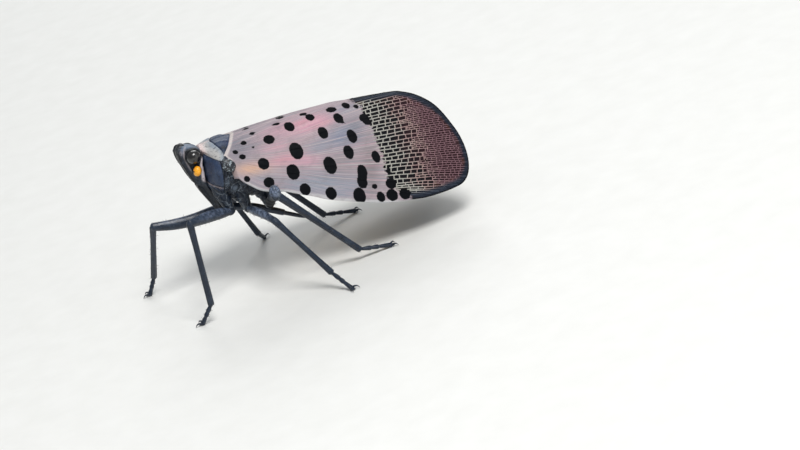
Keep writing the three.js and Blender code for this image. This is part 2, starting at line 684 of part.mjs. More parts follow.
function addWings() {
  const forewing = fannedWing({
    root: FOREWING_ROOT,
    tip: FOREWING_TIP,
    veins: FOREWING_VEINS,
    halfWidth: WING.veinHalfWidth,
    height: WING.veinHeight,
    outside: 0,
    thickness: WING.thickness,
    rows: DIVISIONS.forewingRows,
  });
  const hindwing = fannedWing({
    root: HINDWING_ROOT,
    tip: HINDWING_TIP,
    veins: HINDWING_VEINS,
    halfWidth: HINDWING.pleatHalfWidth,
    height: HINDWING.pleatHeight,
    outside: -HINDWING.depth,
    thickness: HINDWING.thickness,
    rows: DIVISIONS.hindwingRows,
  });
  SIDES.forEach(([name, side]) => {
    place(body, `forewing_${name}`, surface(solid(mirrored(forewing, side))), 'forewing');
    place(body, `hindwing_${name}`, surface(solid(mirrored(hindwing, side))), 'hindwing');
  });
}

function addLegs() {
  Object.entries(LEGS).forEach(([pair, leg]) => {
    SIDES.forEach(([name, side]) => {
      const stance = leg[name];
      const onBody = ([x, y, z]) => new THREE.Vector3(x, -side * y, z).applyMatrix4(body.matrixWorld);
      const [coxaRoot, hip] = [onBody(leg.coxaRoot), onBody(leg.hip)];
      const [knee, ankle, toe] = [point(stance.knee), point(stance.ankle), point(stance.toe)];
      place(body, `${pair}_${name}_coxa`, surface(solid(coxa(leg, side))), 'leg');
      const femur = segment(coxaRoot, hip, knee, leg.coxaRadii[2], leg.femurRadii);
      place(insect, `${pair}_${name}_femur`, surface(solid(femur)), 'leg');
      place(insect, `${pair}_${name}_tibia`, surface(buildTibia(leg, hip, knee, ankle, side)), 'leg');
      place(insect, `${pair}_${name}_tarsus`, surface(buildTarsus(leg, ankle, toe)), 'leg');
    });
  });
}

addBody();
addWings();
addLegs();

// The origin is on the floor, under the middle of the whole insect's box
insect.updateMatrixWorld(true);
const box = new THREE.Box3().setFromObject(insect, true);
const middle = box.getCenter(new THREE.Vector3());
insect.position.set(-middle.x, -middle.y, -box.min.z);
insect.updateMatrixWorld(true);

export default insect;
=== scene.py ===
"""A studio view of an adult spotted lanternfly at life size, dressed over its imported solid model.

The insect stands on six feet with its spotted forewings folded like a roof. Sizes are in
millimetres. The body frame has x back along the body, z up from it and y = 0 as the plane of
symmetry; the floor frame has the floor at z = 0. Meshes are made in metres in the row's frame.
"""

import logging
import math
from collections.abc import Callable, Sequence
from dataclasses import dataclass, field
from enum import Enum
from functools import cache

import bpy
import numpy as np
from mathutils import Matrix, Vector


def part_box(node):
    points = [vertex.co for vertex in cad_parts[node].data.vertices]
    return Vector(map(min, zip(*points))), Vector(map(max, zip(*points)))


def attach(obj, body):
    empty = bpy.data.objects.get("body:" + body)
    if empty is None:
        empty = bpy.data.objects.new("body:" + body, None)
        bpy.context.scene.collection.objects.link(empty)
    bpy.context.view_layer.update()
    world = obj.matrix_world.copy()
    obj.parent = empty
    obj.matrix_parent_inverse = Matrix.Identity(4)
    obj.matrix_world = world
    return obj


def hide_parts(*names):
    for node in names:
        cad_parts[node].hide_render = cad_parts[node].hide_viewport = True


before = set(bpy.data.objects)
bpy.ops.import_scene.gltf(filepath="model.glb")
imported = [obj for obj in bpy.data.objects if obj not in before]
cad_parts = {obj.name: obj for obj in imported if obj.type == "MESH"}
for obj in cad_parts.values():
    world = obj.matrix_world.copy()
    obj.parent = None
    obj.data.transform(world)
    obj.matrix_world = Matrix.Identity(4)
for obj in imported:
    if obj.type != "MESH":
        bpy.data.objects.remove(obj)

LOG = logging.getLogger("lanternfly")
MILLIMETRE = 0.001
SEED = 7

Point = tuple[float, float, float]
Colour = tuple[float, float, float]
Chart = tuple[float, float]
FLIP = np.array([1.0, -1.0, 1.0])
Socket = bpy.types.NodeSocket
Material = bpy.types.Material
Object = bpy.types.Object


class Side(Enum):
    """The two sides of the insect, with the sign of y on each."""

    LEFT = -1
    RIGHT = 1

    @property
    def word(self) -> str:
        """The side's name as the solid model's nodes spell it."""
        return self.name.lower()


def linear(red: int, green: int, blue: int) -> Colour:
    """Turns a display colour into the linear values that shaders use.

    Args:
        red, green, blue: display values from 0 to 255.

    Returns:
        The three linear values, from 0 to 1.
    """
    shares = np.array([red, green, blue]) / 255.0
    bent = np.where(shares <= 0.04045, shares / 12.92, ((shares + 0.055) / 1.055) ** 2.4)
    return tuple(float(value) for value in bent)


class Hue:
    """Colours of the insect, each named for where it shows."""

    WING_GROUND = linear(158, 146, 151)
    WING_GREY = linear(108, 112, 122)
    WING_ASH = linear(124, 118, 120)
    WING_ROSE = linear(202, 150, 165)
    WING_PINK = linear(208, 144, 156)
    WING_BLUE = linear(114, 124, 143)
    WING_HAZE = linear(132, 140, 152)
    WING_TAN = linear(204, 162, 132)
    WING_CREAM = linear(198, 184, 184)
    WING_COSTAL = linear(184, 186, 186)
    HEM = linear(196, 188, 184)
    SPOT = linear(8, 10, 14)
    CELL_NEAR = linear(16, 17, 21)
    CELL_FAR = linear(44, 26, 31)
    NET_NEAR = linear(178, 176, 168)
    NET_MIDDLE = linear(172, 146, 141)
    NET_FAR = linear(136, 104, 111)
    MARGIN = linear(30, 35, 45)
    MARGIN_STREAK = linear(72, 80, 94)
    MARGIN_TAN = linear(108, 66, 36)
    CUTICLE = linear(34, 42, 56)
    CUTICLE_DEEP = linear(14, 16, 21)
    CUTICLE_BLOOM = linear(124, 138, 156)
    MESONOTUM = linear(32, 48, 76)
    PLATE = linear(176, 174, 172)
    PLATE_PINK = linear(222, 200, 196)
    PLATE_BLUE = linear(142, 152, 162)
    FACE = linear(61, 79, 104)
    GENA = linear(208, 198, 202)
    BLACK = linear(12, 13, 16)
    EYE = linear(22, 14, 12)
    ORANGE = linear(240, 150, 12)
    AMBER = linear(252, 176, 34)
    LEG = linear(26, 37, 53)
    LEG_DEEP = linear(12, 15, 20)
    LEG_BLOOM = linear(88, 106, 128)
    WAX = linear(134, 148, 174)
    TEGULA_WAX = linear(206, 220, 228)
    NOTUM_SIDE = linear(52, 62, 90)
    LOBE = linear(52, 68, 98)
    ABDOMEN = linear(214, 170, 34)
    HINDWING_RED = linear(190, 26, 30)
    HINDWING_DEEP = linear(150, 18, 24)
    HINDWING_WHITE = linear(222, 216, 206)
    FLOOR = linear(226, 226, 222)
    FLOOR_LIGHT = linear(236, 236, 233)


@dataclass(frozen=True)
class Stance:
    """How the body is carried above the floor, and where the floor frame lies in the row's frame.

    Attributes:
        pitch: how far the head is raised, in radians.
        origin: the body frame's origin in the floor frame.
        shift: the move from the floor frame to the row's frame, in millimetres.
    """

    pitch: float = math.radians(22.0)
    origin: Point = (6.59, 0.0, 11.12)
    shift: Point = (0.0, 0.0, 0.0)

    def carried(self, points: np.ndarray) -> np.ndarray:
        """Moves points from the body frame to the floor frame.

        Args:
            points: an array whose last axis holds x, y, z.

        Returns:
            The same points in the floor frame.
        """
        x, y, z = np.moveaxis(np.asarray(points, float), -1, 0)
        along, up = math.cos(self.pitch), math.sin(self.pitch)
        turned = np.stack([x * along + z * up, y, z * along - x * up], axis=-1)
        return turned + np.array(self.origin)

    def in_row(self, points: np.ndarray) -> np.ndarray:
        """Moves points from the floor frame to the row's frame, in metres."""
        return (np.asarray(points, float) + np.array(self.shift)) * MILLIMETRE


def find_stance(eye_centre: Chart) -> Stance:
    """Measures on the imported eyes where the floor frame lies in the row's frame.

    Args:
        eye_centre: x and z of both eyes in the body frame.

    Returns:
        The stance with its shift set.
    """
    boxes = [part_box(f"eye_{side.word}") for side in Side]
    middle = sum((low + high for low, high in boxes), Vector()) / 4 / MILLIMETRE
    bare = Stance()
    eye = bare.carried(np.array([eye_centre[0], 0.0, eye_centre[1]]))
    return Stance(shift=(middle.x - eye[0], middle.y, middle.z - eye[2]))


EYE_CENTRE = (-2.84, 0.59)
STANCE = find_stance(EYE_CENTRE)


def smooth(value: np.ndarray, low: float, high: float) -> np.ndarray:
    """Rises smoothly from 0 at low to 1 at high."""
    share = np.clip((value - low) / (high - low), 0.0, 1.0)
    return share * share * (3 - 2 * share)


def bell(*offsets: np.ndarray) -> np.ndarray:
    """Is 1 where every offset is 0 and falls off smoothly round it."""
    return np.exp(-sum(offset**2 for offset in offsets))


def round_turn(count: int) -> np.ndarray:
    """Angles spread evenly round a circle."""
    return 2 * np.pi * np.arange(count) / count


def at_level(line: Sequence[Chart], level: np.ndarray | float) -> np.ndarray:
    """The first coordinate of a line of corners where its second one, which rises, has that level."""
    first, second = zip(*line)
    return np.interp(level, second, first)


def nearest(values: np.ndarray, marks: Sequence[float]) -> np.ndarray:
    """How far each value is from the nearest mark."""
    return np.min(np.abs(values[..., None] - np.array(marks)), axis=-1)


def spline(rows: Sequence[Sequence[float]], places: np.ndarray) -> np.ndarray:
    """Reads rows of numbers smoothly between the first (place 0) and the last (place 1)."""
    table = np.asarray(rows, float)
    along = np.clip(np.asarray(places, float), 0.0, 1.0) * (len(table) - 1)
    index = np.minimum(along.astype(int), len(table) - 2)
    part = (along - index)[..., None]

    def row(shift: int) -> np.ndarray:
        return table[np.clip(index + shift, 0, len(table) - 1)]

    slope_in = (row(1) - row(-1)) / 2
    slope_out = (row(2) - row(0)) / 2
    square, cube = part**2, part**3
    from_start = row(0) * (2 * cube - 3 * square + 1) + slope_in * (cube - 2 * square + part)
    from_end = row(1) * (3 * square - 2 * cube) + slope_out * (cube - square)
    return from_start + from_end


def evenly(rows: Sequence[Sequence[float]], shares: np.ndarray) -> np.ndarray:
    """Reads a spline at shares of its length instead of its rows."""
    places = np.linspace(0, 1, 1201)
    points = spline(rows, places)
    steps = np.linalg.norm(np.diff(points, axis=0), axis=1)
    length = np.concatenate([[0.0], np.cumsum(steps)])
    return spline(rows, np.interp(np.asarray(shares) * length[-1], length, places))


def line_distance(x: np.ndarray, z: np.ndarray, line: Sequence[Chart]) -> tuple[np.ndarray, np.ndarray]:
    """Measures points of a plane against a line of straight stretches.

    Args:
        x, z: coordinates of the points.
        line: corners of the line.

    Returns:
        The distance of each point, and the same with a minus sign on the left of the line.
    """
    best = np.full(np.shape(x), np.inf)
    sign = np.ones(np.shape(x))
    for (x0, z0), (x1, z1) in zip(line[:-1], line[1:]):
        run_x, run_z = x1 - x0, z1 - z0
        share = np.clip(((x - x0) * run_x + (z - z0) * run_z) / (run_x**2 + run_z**2), 0, 1)
        distance = np.hypot(x - x0 - share * run_x, z - z0 - share * run_z)
        side = np.where((x - x0) * run_z - (z - z0) * run_x >= 0, 1.0, -1.0)
        sign = np.where(distance < best - 1e-9, side, sign)
        best = np.minimum(best, distance)
    return best, best * sign


@dataclass
class Shell:
    """One closed form: points in the floor frame, faces, and what is known at each point.

    Attributes:
        points: rows of x, y, z in millimetres.
        faces: rows of point numbers, each a triangle or a quad.
        values: a number at each point, by name.
        tints: a linear colour at each point, by name.
        charts: a place on a flat chart at each point, by name.
    """

    points: np.ndarray
    faces: list[tuple[int, ...]]
    values: dict[str, np.ndarray] = field(default_factory=dict)
    tints: dict[str, np.ndarray] = field(default_factory=dict)
    charts: dict[str, np.ndarray] = field(default_factory=dict)

    def outward(self) -> "Shell":
        """Turns the faces over if they point into the form."""
        quads = np.array([face if len(face) == 4 else (*face, face[2]) for face in self.faces])
        a, b, c, d = (self.points[quads[:, k]] - self.points.mean(axis=0) for k in range(4))
        volume = np.einsum("ij,ij->", a, np.cross(b, c)) + np.einsum("ij,ij->", a, np.cross(c, d))
        if volume < 0:
            self.faces = [tuple(reversed(face)) for face in self.faces]
        return self

    def mirrored(self, side: Side) -> "Shell":
        """The same form on that side of the plane of symmetry, built on the left."""
        if side is Side.RIGHT:
            self.points = self.points * FLIP
        return self.outward()

    def carried(self) -> "Shell":
        """The same form moved from the body frame to the floor frame."""
        self.points = STANCE.carried(self.points)
        return self

    def filled(self, name: str, number: float) -> "Shell":
        """The same form with that number stored at every point."""
        self.values[name] = np.full(len(self.points), number)
        return self

    def painted(self, colour: Colour) -> "Shell":
        """The same form in one colour."""
        self.tints["tint"] = np.tile(np.array(colour), (len(self.points), 1))
        return self


def joined(shells: Sequence[Shell]) -> Shell:
    """Puts several closed forms into one shell, with zeros where a form lacks a value."""
    whole = Shell(np.concatenate([shell.points for shell in shells]), [])
    start = 0
    for shell in shells:
        whole.faces += [tuple(corner + start for corner in face) for face in shell.faces]
        start += len(shell.points)
    for store, width in (("values", ()), ("tints", (3,)), ("charts", (2,))):
        for name in sorted({name for shell in shells for name in getattr(shell, store)}):
            blanks = [np.zeros((len(shell.points), *width)) for shell in shells]
            parts = [getattr(shell, store).get(name, blank) for shell, blank in zip(shells, blanks)]
            getattr(whole, store)[name] = np.concatenate(parts)
    return whole


def grid_faces(rows: int, columns: int, ring: bool, start: int = 0) -> list[tuple[int, ...]]:
    """Quads between neighbouring rows and columns, the last column joined to the first on a ring."""
    index = np.arange(rows * columns).reshape(rows, columns) + start
    if ring:
        index = np.concatenate([index, index[:, :1]], axis=1)
    corners = np.stack([index[:-1, :-1], index[:-1, 1:], index[1:, 1:], index[1:, :-1]], axis=-1)
    return [tuple(face) for face in corners.reshape(-1, 4).tolist()]


def skin_over(rings: np.ndarray) -> Shell:
    """A closed skin over rings of points, each end fanned shut about its middle.

    Args:
        rings: an array of rings by points by x, y, z.

    Returns:
        The shell, its points row by row with the two middles last.
    """
    rows, columns, _ = rings.shape
    ends = np.stack([rings[0].mean(axis=0), rings[-1].mean(axis=0)])
    faces = grid_faces(rows, columns, ring=True)
    last = (rows - 1) * columns
    for k in range(columns):
        after = (k + 1) % columns
        faces.append((after, k, rows * columns))
        faces.append((last + k, last + after, rows * columns + 1))
    return Shell(np.concatenate([rings.reshape(-1, 3), ends]), faces).outward()


def closed_sheet(outer: np.ndarray, inner: np.ndarray) -> Shell:
    """A closed sheet between two grids of points with the same rows and columns."""
    rows, columns, _ = outer.shape
    under = rows * columns
    faces = grid_faces(rows, columns, ring=False)
    faces += [tuple(reversed(face)) for face in grid_faces(rows, columns, ring=False, start=under)]
    rim = [(0, k) for k in range(columns - 1)]
    rim += [(i, columns - 1) for i in range(rows - 1)]
    rim += [(rows - 1, k) for k in range(columns - 1, 0, -1)]
    rim += [(i, 0) for i in range(rows - 1, 0, -1)]
    numbers = [row * columns + column for row, column in rim]
    for k, a in enumerate(numbers):
        b = numbers[(k + 1) % len(numbers)]
        faces.append((b, a, a + under, b + under))
    return Shell(np.concatenate([outer.reshape(-1, 3), inner.reshape(-1, 3)]), faces)


def unit(vectors: np.ndarray) -> np.ndarray:
    """Vectors scaled to length 1 along the last axis."""
    length = np.linalg.norm(vectors, axis=-1, keepdims=True)
    return vectors / np.maximum(length, 1e-12)


@dataclass
class Limb:
    """A tube along a smooth path, with a width and a depth at each point of it and round ends.

    Attributes:
        path: points of the path in the floor frame.
        widths: half sizes across the limb, one at each point.
        depths: half sizes the other way, one at each point.
        across: the direction that widths are measured in, made square to the path.
        keel: how far four lengthwise ridges stand out, as a share of the size.
        sides: points round a section.
        stations: sections along the limb.
        start_round, end_round: length of each rounded end as a share of the size there.
    """

    path: Sequence[Sequence[float]]
    widths: Sequence[float]
    depths: Sequence[float] | None = None
    across: Point = (0.0, 1.0, 0.0)
    keel: float = 0.0
    sides: int = 20
    stations: int = 48
    start_round: float = 0.8
    end_round: float = 0.8

    def shell(self) -> Shell:
        """Builds the tube.

        Returns:
            The closed shell, with the value "along" running from 0 at its start to 1 at its end.
        """
        places = np.linspace(0, 1, self.stations)
        depths = self.widths if self.depths is None else self.depths
        rows = np.column_stack([np.asarray(self.path, float), self.widths, depths])
        read = evenly(rows, places)
        centres, width, depth = read[:, :3], read[:, 3], read[:, 4]
        heading = unit(np.gradient(centres, axis=0))
        side = np.array(self.across, float)
        sideways = np.zeros_like(centres)
        for i, forward in enumerate(heading):
            side = unit(side - forward * (side @ forward))
            sideways[i] = side
        upward = np.cross(heading, sideways)
        angle = round_turn(self.sides)
        bulge = 1 + self.keel * np.cos(4 * angle)
        rings, along = [], []

        def add_ring(i: int, shift: float, scale: float, share: float) -> None:
            middle = centres[i] + heading[i] * shift
            reach = np.outer(np.cos(angle) * bulge * width[i] * scale, sideways[i])
            rise = np.outer(np.sin(angle) * bulge * depth[i] * scale, upward[i])
            rings.append(middle + reach + rise)
            along.append(share)

        cap_turns = np.radians([80, 62, 42, 22])
        for turn in cap_turns:
            add_ring(0, -min(width[0], depth[0]) * self.start_round * math.sin(turn), math.cos(turn), 0.0)
        for i, share in enumerate(places):
            add_ring(i, 0.0, 1.0, share)
        for turn in cap_turns[::-1]:
            add_ring(-1, min(width[-1], depth[-1]) * self.end_round * math.sin(turn), math.cos(turn), 1.0)
        shell = skin_over(np.array(rings))
        shell.values["along"] = np.append(np.repeat(along, self.sides), [0.0, 1.0])
        return shell


def ball(centre: Sequence[float], radii: Sequence[float], columns: int = 32, rows: int = 20) -> Shell:
    """A closed ellipsoid with its poles up and down, in the frame that centre is in."""
    rise = np.linspace(-np.pi / 2, np.pi / 2, rows + 2)[1:-1, None]
    angle = round_turn(columns)
    flat = np.broadcast_arrays(np.cos(rise) * np.cos(angle), np.cos(rise) * np.sin(angle), np.sin(rise))
    return skin_over(np.stack(flat, axis=-1) * np.array(radii) + np.array(centre))


def layered(ground: Colour, *layers: tuple[Colour, np.ndarray]) -> np.ndarray:
    """Lays colours one over the other at the points of a form.

    Args:
        ground: the colour below all others.
        layers: each further colour, with its share at each point.

    Returns:
        The colour at each point.
    """
    tint = np.array(ground)
    for colour, share in layers:
        share = share[..., None]
        tint = tint * (1 - share) + np.array(colour) * share
    return tint


def shown(name: str, data: bpy.types.ID) -> Object:
    """Puts data into the scene as an object of that name."""
    made = bpy.data.objects.new(name, data)
    bpy.context.scene.collection.objects.link(made)
    return made


def store_numbers(mesh: bpy.types.Mesh, values: dict[str, np.ndarray]) -> None:
    """Stores numbers at the points of a mesh, by name."""
    for key, numbers in values.items():
        mesh.attributes.new(key, "FLOAT", "POINT").data.foreach_set("value", numbers.astype(np.float32))


def make_piece(name: str, shell: Shell, material: Material, nodes: Sequence[str]) -> Object:
    """Makes a mesh object of a shell and sets it on the solid model.

    Args:
        name: the object's name.
        shell: the form in the floor frame.
        material: its finish.
        nodes: the solid model's nodes that it stands for.

    Returns:
        The object, at the origin and unturned.
    """
    mesh = bpy.data.meshes.new(name)
    mesh.from_pydata(STANCE.in_row(shell.points).tolist(), [], shell.faces)
    store_numbers(mesh, shell.values)
    for key, colours in shell.tints.items():
        opaque = np.column_stack([colours, np.ones(len(colours))])
        store = mesh.attributes.new(key, "FLOAT_COLOR", "POINT")
        store.data.foreach_set("color", opaque.astype(np.float32).ravel())
    corners = np.zeros(len(mesh.loops), np.int32)
    mesh.loops.foreach_get("vertex_index", corners)
    for key, places in shell.charts.items():
        mesh.uv_layers.new(name=key).data.foreach_set("uv", places[corners].astype(np.float32).ravel())
    mesh.materials.append(material)
    mesh.shade_smooth()
    mesh.validate(verbose=False)
    piece = shown(name, mesh)
    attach(piece, "root")
    if nodes:
        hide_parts(*nodes)
    return piece


class Nodes:
    """Builds a node tree with short calls. Sockets go in and come out."""

    def __init__(self, tree: bpy.types.NodeTree) -> None:
        self.tree = tree

    def node(self, kind: str, inputs: dict | None = None, **settings) -> bpy.types.Node:
        """Adds a node, with its settings, and its inputs by identifier or number."""
        made = self.tree.nodes.new(kind)
        for key, value in settings.items():
            setattr(made, key, value)
        sockets = {socket.identifier: socket for socket in made.inputs}
        for key, value in (inputs or {}).items():
            self.put(made.inputs[key] if isinstance(key, int) else sockets[key], value)
        return made

    def put(self, socket: Socket, value) -> None:
        """Sets an input to a number or colour, or links it to another node's output."""
        if isinstance(value, Socket):
            self.tree.links.new(value, socket)
        elif socket.type == "RGBA" and len(value) == 3:
            socket.default_value = (*value, 1.0)
        else:
            socket.default_value = value


class Shader(Nodes):
    """Builds one material."""

    def __init__(self, name: str) -> None:
        self.material = bpy.data.materials.new(name)
        self.material.use_nodes = True
        super().__init__(self.material.node_tree)
        self.tree.nodes.clear()
        self.output = self.tree.nodes.new("ShaderNodeOutputMaterial")

    def value(self, name: str) -> Socket:
        """A number stored at the mesh's points."""
        return self.node("ShaderNodeAttribute", attribute_name=name).outputs["Fac"]

    def tint(self) -> Socket:
        """The colour stored at the mesh's points."""
        return self.node("ShaderNodeAttribute", attribute_name="tint").outputs["Color"]

    def here(self, stretch: Point = (1.0, 1.0, 1.0), chart: str | None = None) -> Socket:
        """The place on the object in millimetres, or on one of its charts, stretched."""
        if chart is None:
            source = self.node("ShaderNodeTexCoord").outputs["Object"]
            stretch = tuple(value / MILLIMETRE for value in stretch)
        else:
            source = self.node("ShaderNodeUVMap", uv_map=chart).outputs["UV"]
        return self.node("ShaderNodeMapping", {"Vector": source, "Scale": stretch}).outputs["Vector"]

    def noise(self, place: Socket, scale: float, detail: float = 3.0, rough: float = 0.55) -> Socket:
        """Cloudy noise from 0 to 1 at a place."""
        inputs = {"Vector": place, "Scale": scale, "Detail": detail, "Roughness": rough}
        return self.node("ShaderNodeTexNoise", inputs).outputs["Fac"]

    def warped(self, place: Socket, scale: float) -> Socket:
        """A place moved by noise, for lines and cells that wander."""
        inputs = {0: place, 1: self.noise(place, scale)}
        return self.node("ShaderNodeVectorMath", inputs, operation="ADD").outputs[0]

    def cells(self, place: Socket, scale: float, feature: str = "F1") -> Socket:
        """Distance within a pattern of rounded cells."""
        inputs = {"Vector": place, "Scale": scale}
        return self.node("ShaderNodeTexVoronoi", inputs, feature=feature).outputs["Distance"]

    def step(self, value: Socket, low: float, high: float, start: float = 0.0, end: float = 1.0) -> Socket:
        """Goes smoothly from start, where the value is low, to end, where it is high."""
        inputs = {"Value": value, "From Min": low, "From Max": high, "To Min": start, "To Max": end}
        return self.node("ShaderNodeMapRange", inputs, interpolation_type="SMOOTHSTEP").outputs["Result"]

    def sway(self, value: Socket, pattern: Socket, reach: float) -> Socket:
        """A value moved up and down by at most reach, as a noise pattern goes."""
        return self.math("ADD", value, self.step(pattern, 0.3, 0.7, -reach, reach))

    def math(self, operation: str, first, second) -> Socket:
        """One sum of two numbers."""
        return self.node("ShaderNodeMath", {0: first, 1: second}, operation=operation).outputs[0]

    def times(self, first, second) -> Socket:
        """The product of two numbers."""
        return self.math("MULTIPLY", first, second)

    def mix(self, share, first, second) -> Socket:
        """Blends two colours, the second in full where the share is 1."""
        return self.node("ShaderNodeMix", {0: share, 6: first, 7: second}, data_type="RGBA").outputs[2]

    def lay(self, colour, over, pattern: Socket, low: float, high: float, most: float = 1.0) -> Socket:
        """A colour with another over it: not at all where the pattern is low, and most where it is high."""
        return self.mix(self.step(pattern, low, high, 0.0, most), colour, over)

    def bump(self, height: Socket, depth: float, strength: float = 1.0, below=None) -> Socket:
        """Relief from a height of 0 to 1 that stands for a depth in millimetres."""
        inputs = {"Height": height, "Distance": depth * MILLIMETRE, "Strength": strength}
        if below is not None:
            inputs["Normal"] = below
        return self.node("ShaderNodeBump", inputs).outputs["Normal"]

    def finish(self, colour, rough, normal: Socket | None = None, **levels) -> Material:
        """Ends in one surface shader.

        Args:
            colour, rough: base colour and roughness, set or linked.
            normal: the relief, if any.
            levels: other inputs by name, with spaces as underscores, set or linked.

        Returns:
            The material.
        """
        inputs = {"Base Color": colour, "Roughness": rough}
        if normal is not None:
            inputs["Normal"] = normal
        inputs |= {key.replace("_", " "): value for key, value in levels.items()}
        surface = self.node("ShaderNodeBsdfPrincipled", inputs)
        self.tree.links.new(surface.outputs[0], self.output.inputs[0])
        return self.material


@dataclass(frozen=True)
class CuticleFinish:
    """Horny skin with fine wrinkles, pits and a waxy bloom, over a tint stored on the mesh.

    Attributes:
        name: the material's name.
        deep: colour that the hollows of the wrinkles go towards, and the colour of the painted shade that
            the mesh asks for.
        bloom: colour of the wax.
        bloom_share: how much of the wax shows at most.
        rough: lowest and highest roughness.
        grain: noise scale of the wrinkles, per millimetre.
        relief: depth of the wrinkles in millimetres.
        pits: scale of the pits, per millimetre, or 0 for none.
        coat: strength of the clear gloss.
        gloss: level of the plain reflection.
        folds: depth in millimetres of crumpled folds, where the mesh's own "folds" number asks for them.
        wax: how thick the blue-white wax lies, where the mesh's own "wax" number asks for it.
        ground: the base colour, or None to read it from the mesh.
    """

    name: str
    deep: Colour
    bloom: Colour
    bloom_share: float = 0.3
    rough: Chart = (0.35, 0.6)
    grain: float = 5.0
    relief: float = 0.03
    pits: float = 0.0
    coat: float = 0.15
    gloss: float = 0.3
    folds: float = 0.0
    wax: float = 0.0
    ground: Colour | None = None

    @cache
    def build(self) -> Material:
        """Makes the material when first asked for."""
        shader = Shader(self.name)
        place = shader.here()
        patches = shader.noise(place, 1.6, 4.0, 0.6)
        fine = shader.noise(place, self.grain, 4.0, 0.6)
        dust = shader.noise(place, self.grain * 2.6, 2.0)
        coat, gloss = self.coat, self.gloss
        colour = shader.lay(self.ground or shader.tint(), self.deep, fine, 0.5, 0.25, 0.75)
        cloud = shader.times(shader.step(patches, 0.45, 0.7), shader.step(dust, 0.4, 0.65))
        colour = shader.mix(shader.times(cloud, self.bloom_share), colour, self.bloom)
        if self.wax:
            flakes = shader.step(shader.noise(place, 3.6, 5.0, 0.75), 0.42, 0.62, 0.12, 1.0)
            share = shader.times(shader.value("wax"), flakes)
            colour = shader.mix(shader.times(share, self.wax), colour, Hue.WAX)
            # Painted shade: where the mesh asks for it, the colour goes towards the deep colour and the
            # gloss and coat are taken away.
            worn = shader.value("worn")
            colour = shader.mix(worn, colour, self.deep)
            kept = shader.math("SUBTRACT", 1.0, worn)
            coat, gloss = shader.times(kept, coat), shader.times(kept, gloss)
        normal = shader.bump(fine, self.relief)
        if self.pits:
            hollow = shader.step(shader.cells(place, self.pits), 0.0, 0.45)
            normal = shader.bump(hollow, self.relief * 0.6, 0.8, normal)
        if self.folds:
            share = shader.value("folds")
            ridges = shader.cells(shader.warped(place, 1.3), 1.5, "DISTANCE_TO_EDGE")
            line = shader.times(shader.step(ridges, 0.07, 0.01, 0.0, 0.5), share)
            colour = shader.mix(shader.times(line, shader.step(patches, 0.4, 0.6)), colour, Hue.PLATE_BLUE)
            swell = shader.times(shader.step(ridges, 0.0, 0.3), share)
            normal = shader.bump(swell, self.folds, 1.0, normal)
        rough = shader.step(patches, 0.3, 0.7, *self.rough)
        levels = {"Coat_Weight": coat, "Coat_Roughness": 0.25, "Specular_IOR_Level": gloss}
        return shader.finish(colour, rough, normal, **levels)


BODY_CUTICLE = CuticleFinish(
    "body_cuticle", Hue.CUTICLE_DEEP, Hue.CUTICLE_BLOOM, 0.3, (0.38, 0.62), 5.0, 0.05, 9.0, folds=0.16
)
LEG_CUTICLE = CuticleFinish(
    "leg_cuticle", Hue.LEG_DEEP, Hue.LEG_BLOOM, 0.3, (0.28, 0.5), 7.0, 0.025,
    coat=0.2, folds=0.1, wax=0.8, ground=Hue.LEG,
)
ABDOMEN_CUTICLE = CuticleFinish(
    "abdomen_cuticle", Hue.CUTICLE_DEEP, Hue.CUTICLE_BLOOM, 0.15, (0.4, 0.6), 4.0, 0.03
)


@cache
def tegula_finish() -> Material:
    """The wing root's scale: black, with pale blue-white wax on its lumps."""
    shader = Shader("tegula_scale")
    place = shader.here()
    lumps = shader.cells(shader.warped(place, 3.0), 5.0)
    wax = shader.times(shader.step(lumps, 0.55, 0.3), shader.step(shader.noise(place, 2.2), 0.3, 0.5))
    colour = shader.mix(wax, Hue.BLACK, Hue.TEGULA_WAX)
    colour = shader.lay(colour, Hue.CUTICLE, shader.noise(place, 9.0), 0.6, 0.45, 0.5)
    normal = shader.bump(shader.step(lumps, 0.6, 0.1), 0.1)
    return shader.finish(colour, 0.45, normal, Coat_Weight=0.2, Coat_Roughness=0.3)


@cache
def hair_finish() -> Material:
    """Stiff dark hairs, paler at random."""
    shader = Shader("hair")
    return shader.finish(shader.mix(shader.noise(shader.here(), 2.0), Hue.BLACK, Hue.LEG), 0.45)


@cache
def eye_finish() -> Material:
    """A dark compound eye: a clear gloss over fine facets, with a faint brown depth."""
    shader = Shader("eye")
    facets = shader.step(shader.cells(shader.here(), 22.0), 0.05, 0.6)
    bands = shader.noise(shader.here((0.6, 0.6, 2.4)), 1.2)
    colour = shader.lay(Hue.BLACK, Hue.EYE, bands, 0.35, 0.7)
    normal = shader.bump(facets, 0.006, 0.5)
    return shader.finish(colour, 0.32, normal, Coat_Weight=1.0, Coat_Roughness=0.13, Specular_IOR_Level=0.35)


@cache
def pedicel_finish() -> Material:
    """The bright orange second joint of the feeler, pimpled with small sense organs."""
    shader = Shader("pedicel")
    place = shader.here()
    pimples = shader.step(shader.cells(place, 7.0), 0.4, 0.05)
    colour = shader.lay(Hue.ORANGE, Hue.AMBER, shader.noise(place, 1.4), 0.3, 0.65)
    normal = shader.bump(pimples, 0.015)
    glow = {"Subsurface_Weight": 0.15, "Subsurface_Scale": 0.3 * MILLIMETRE}
    return shader.finish(colour, 0.42, normal, Coat_Weight=0.3, Coat_Roughness=0.2, **glow)


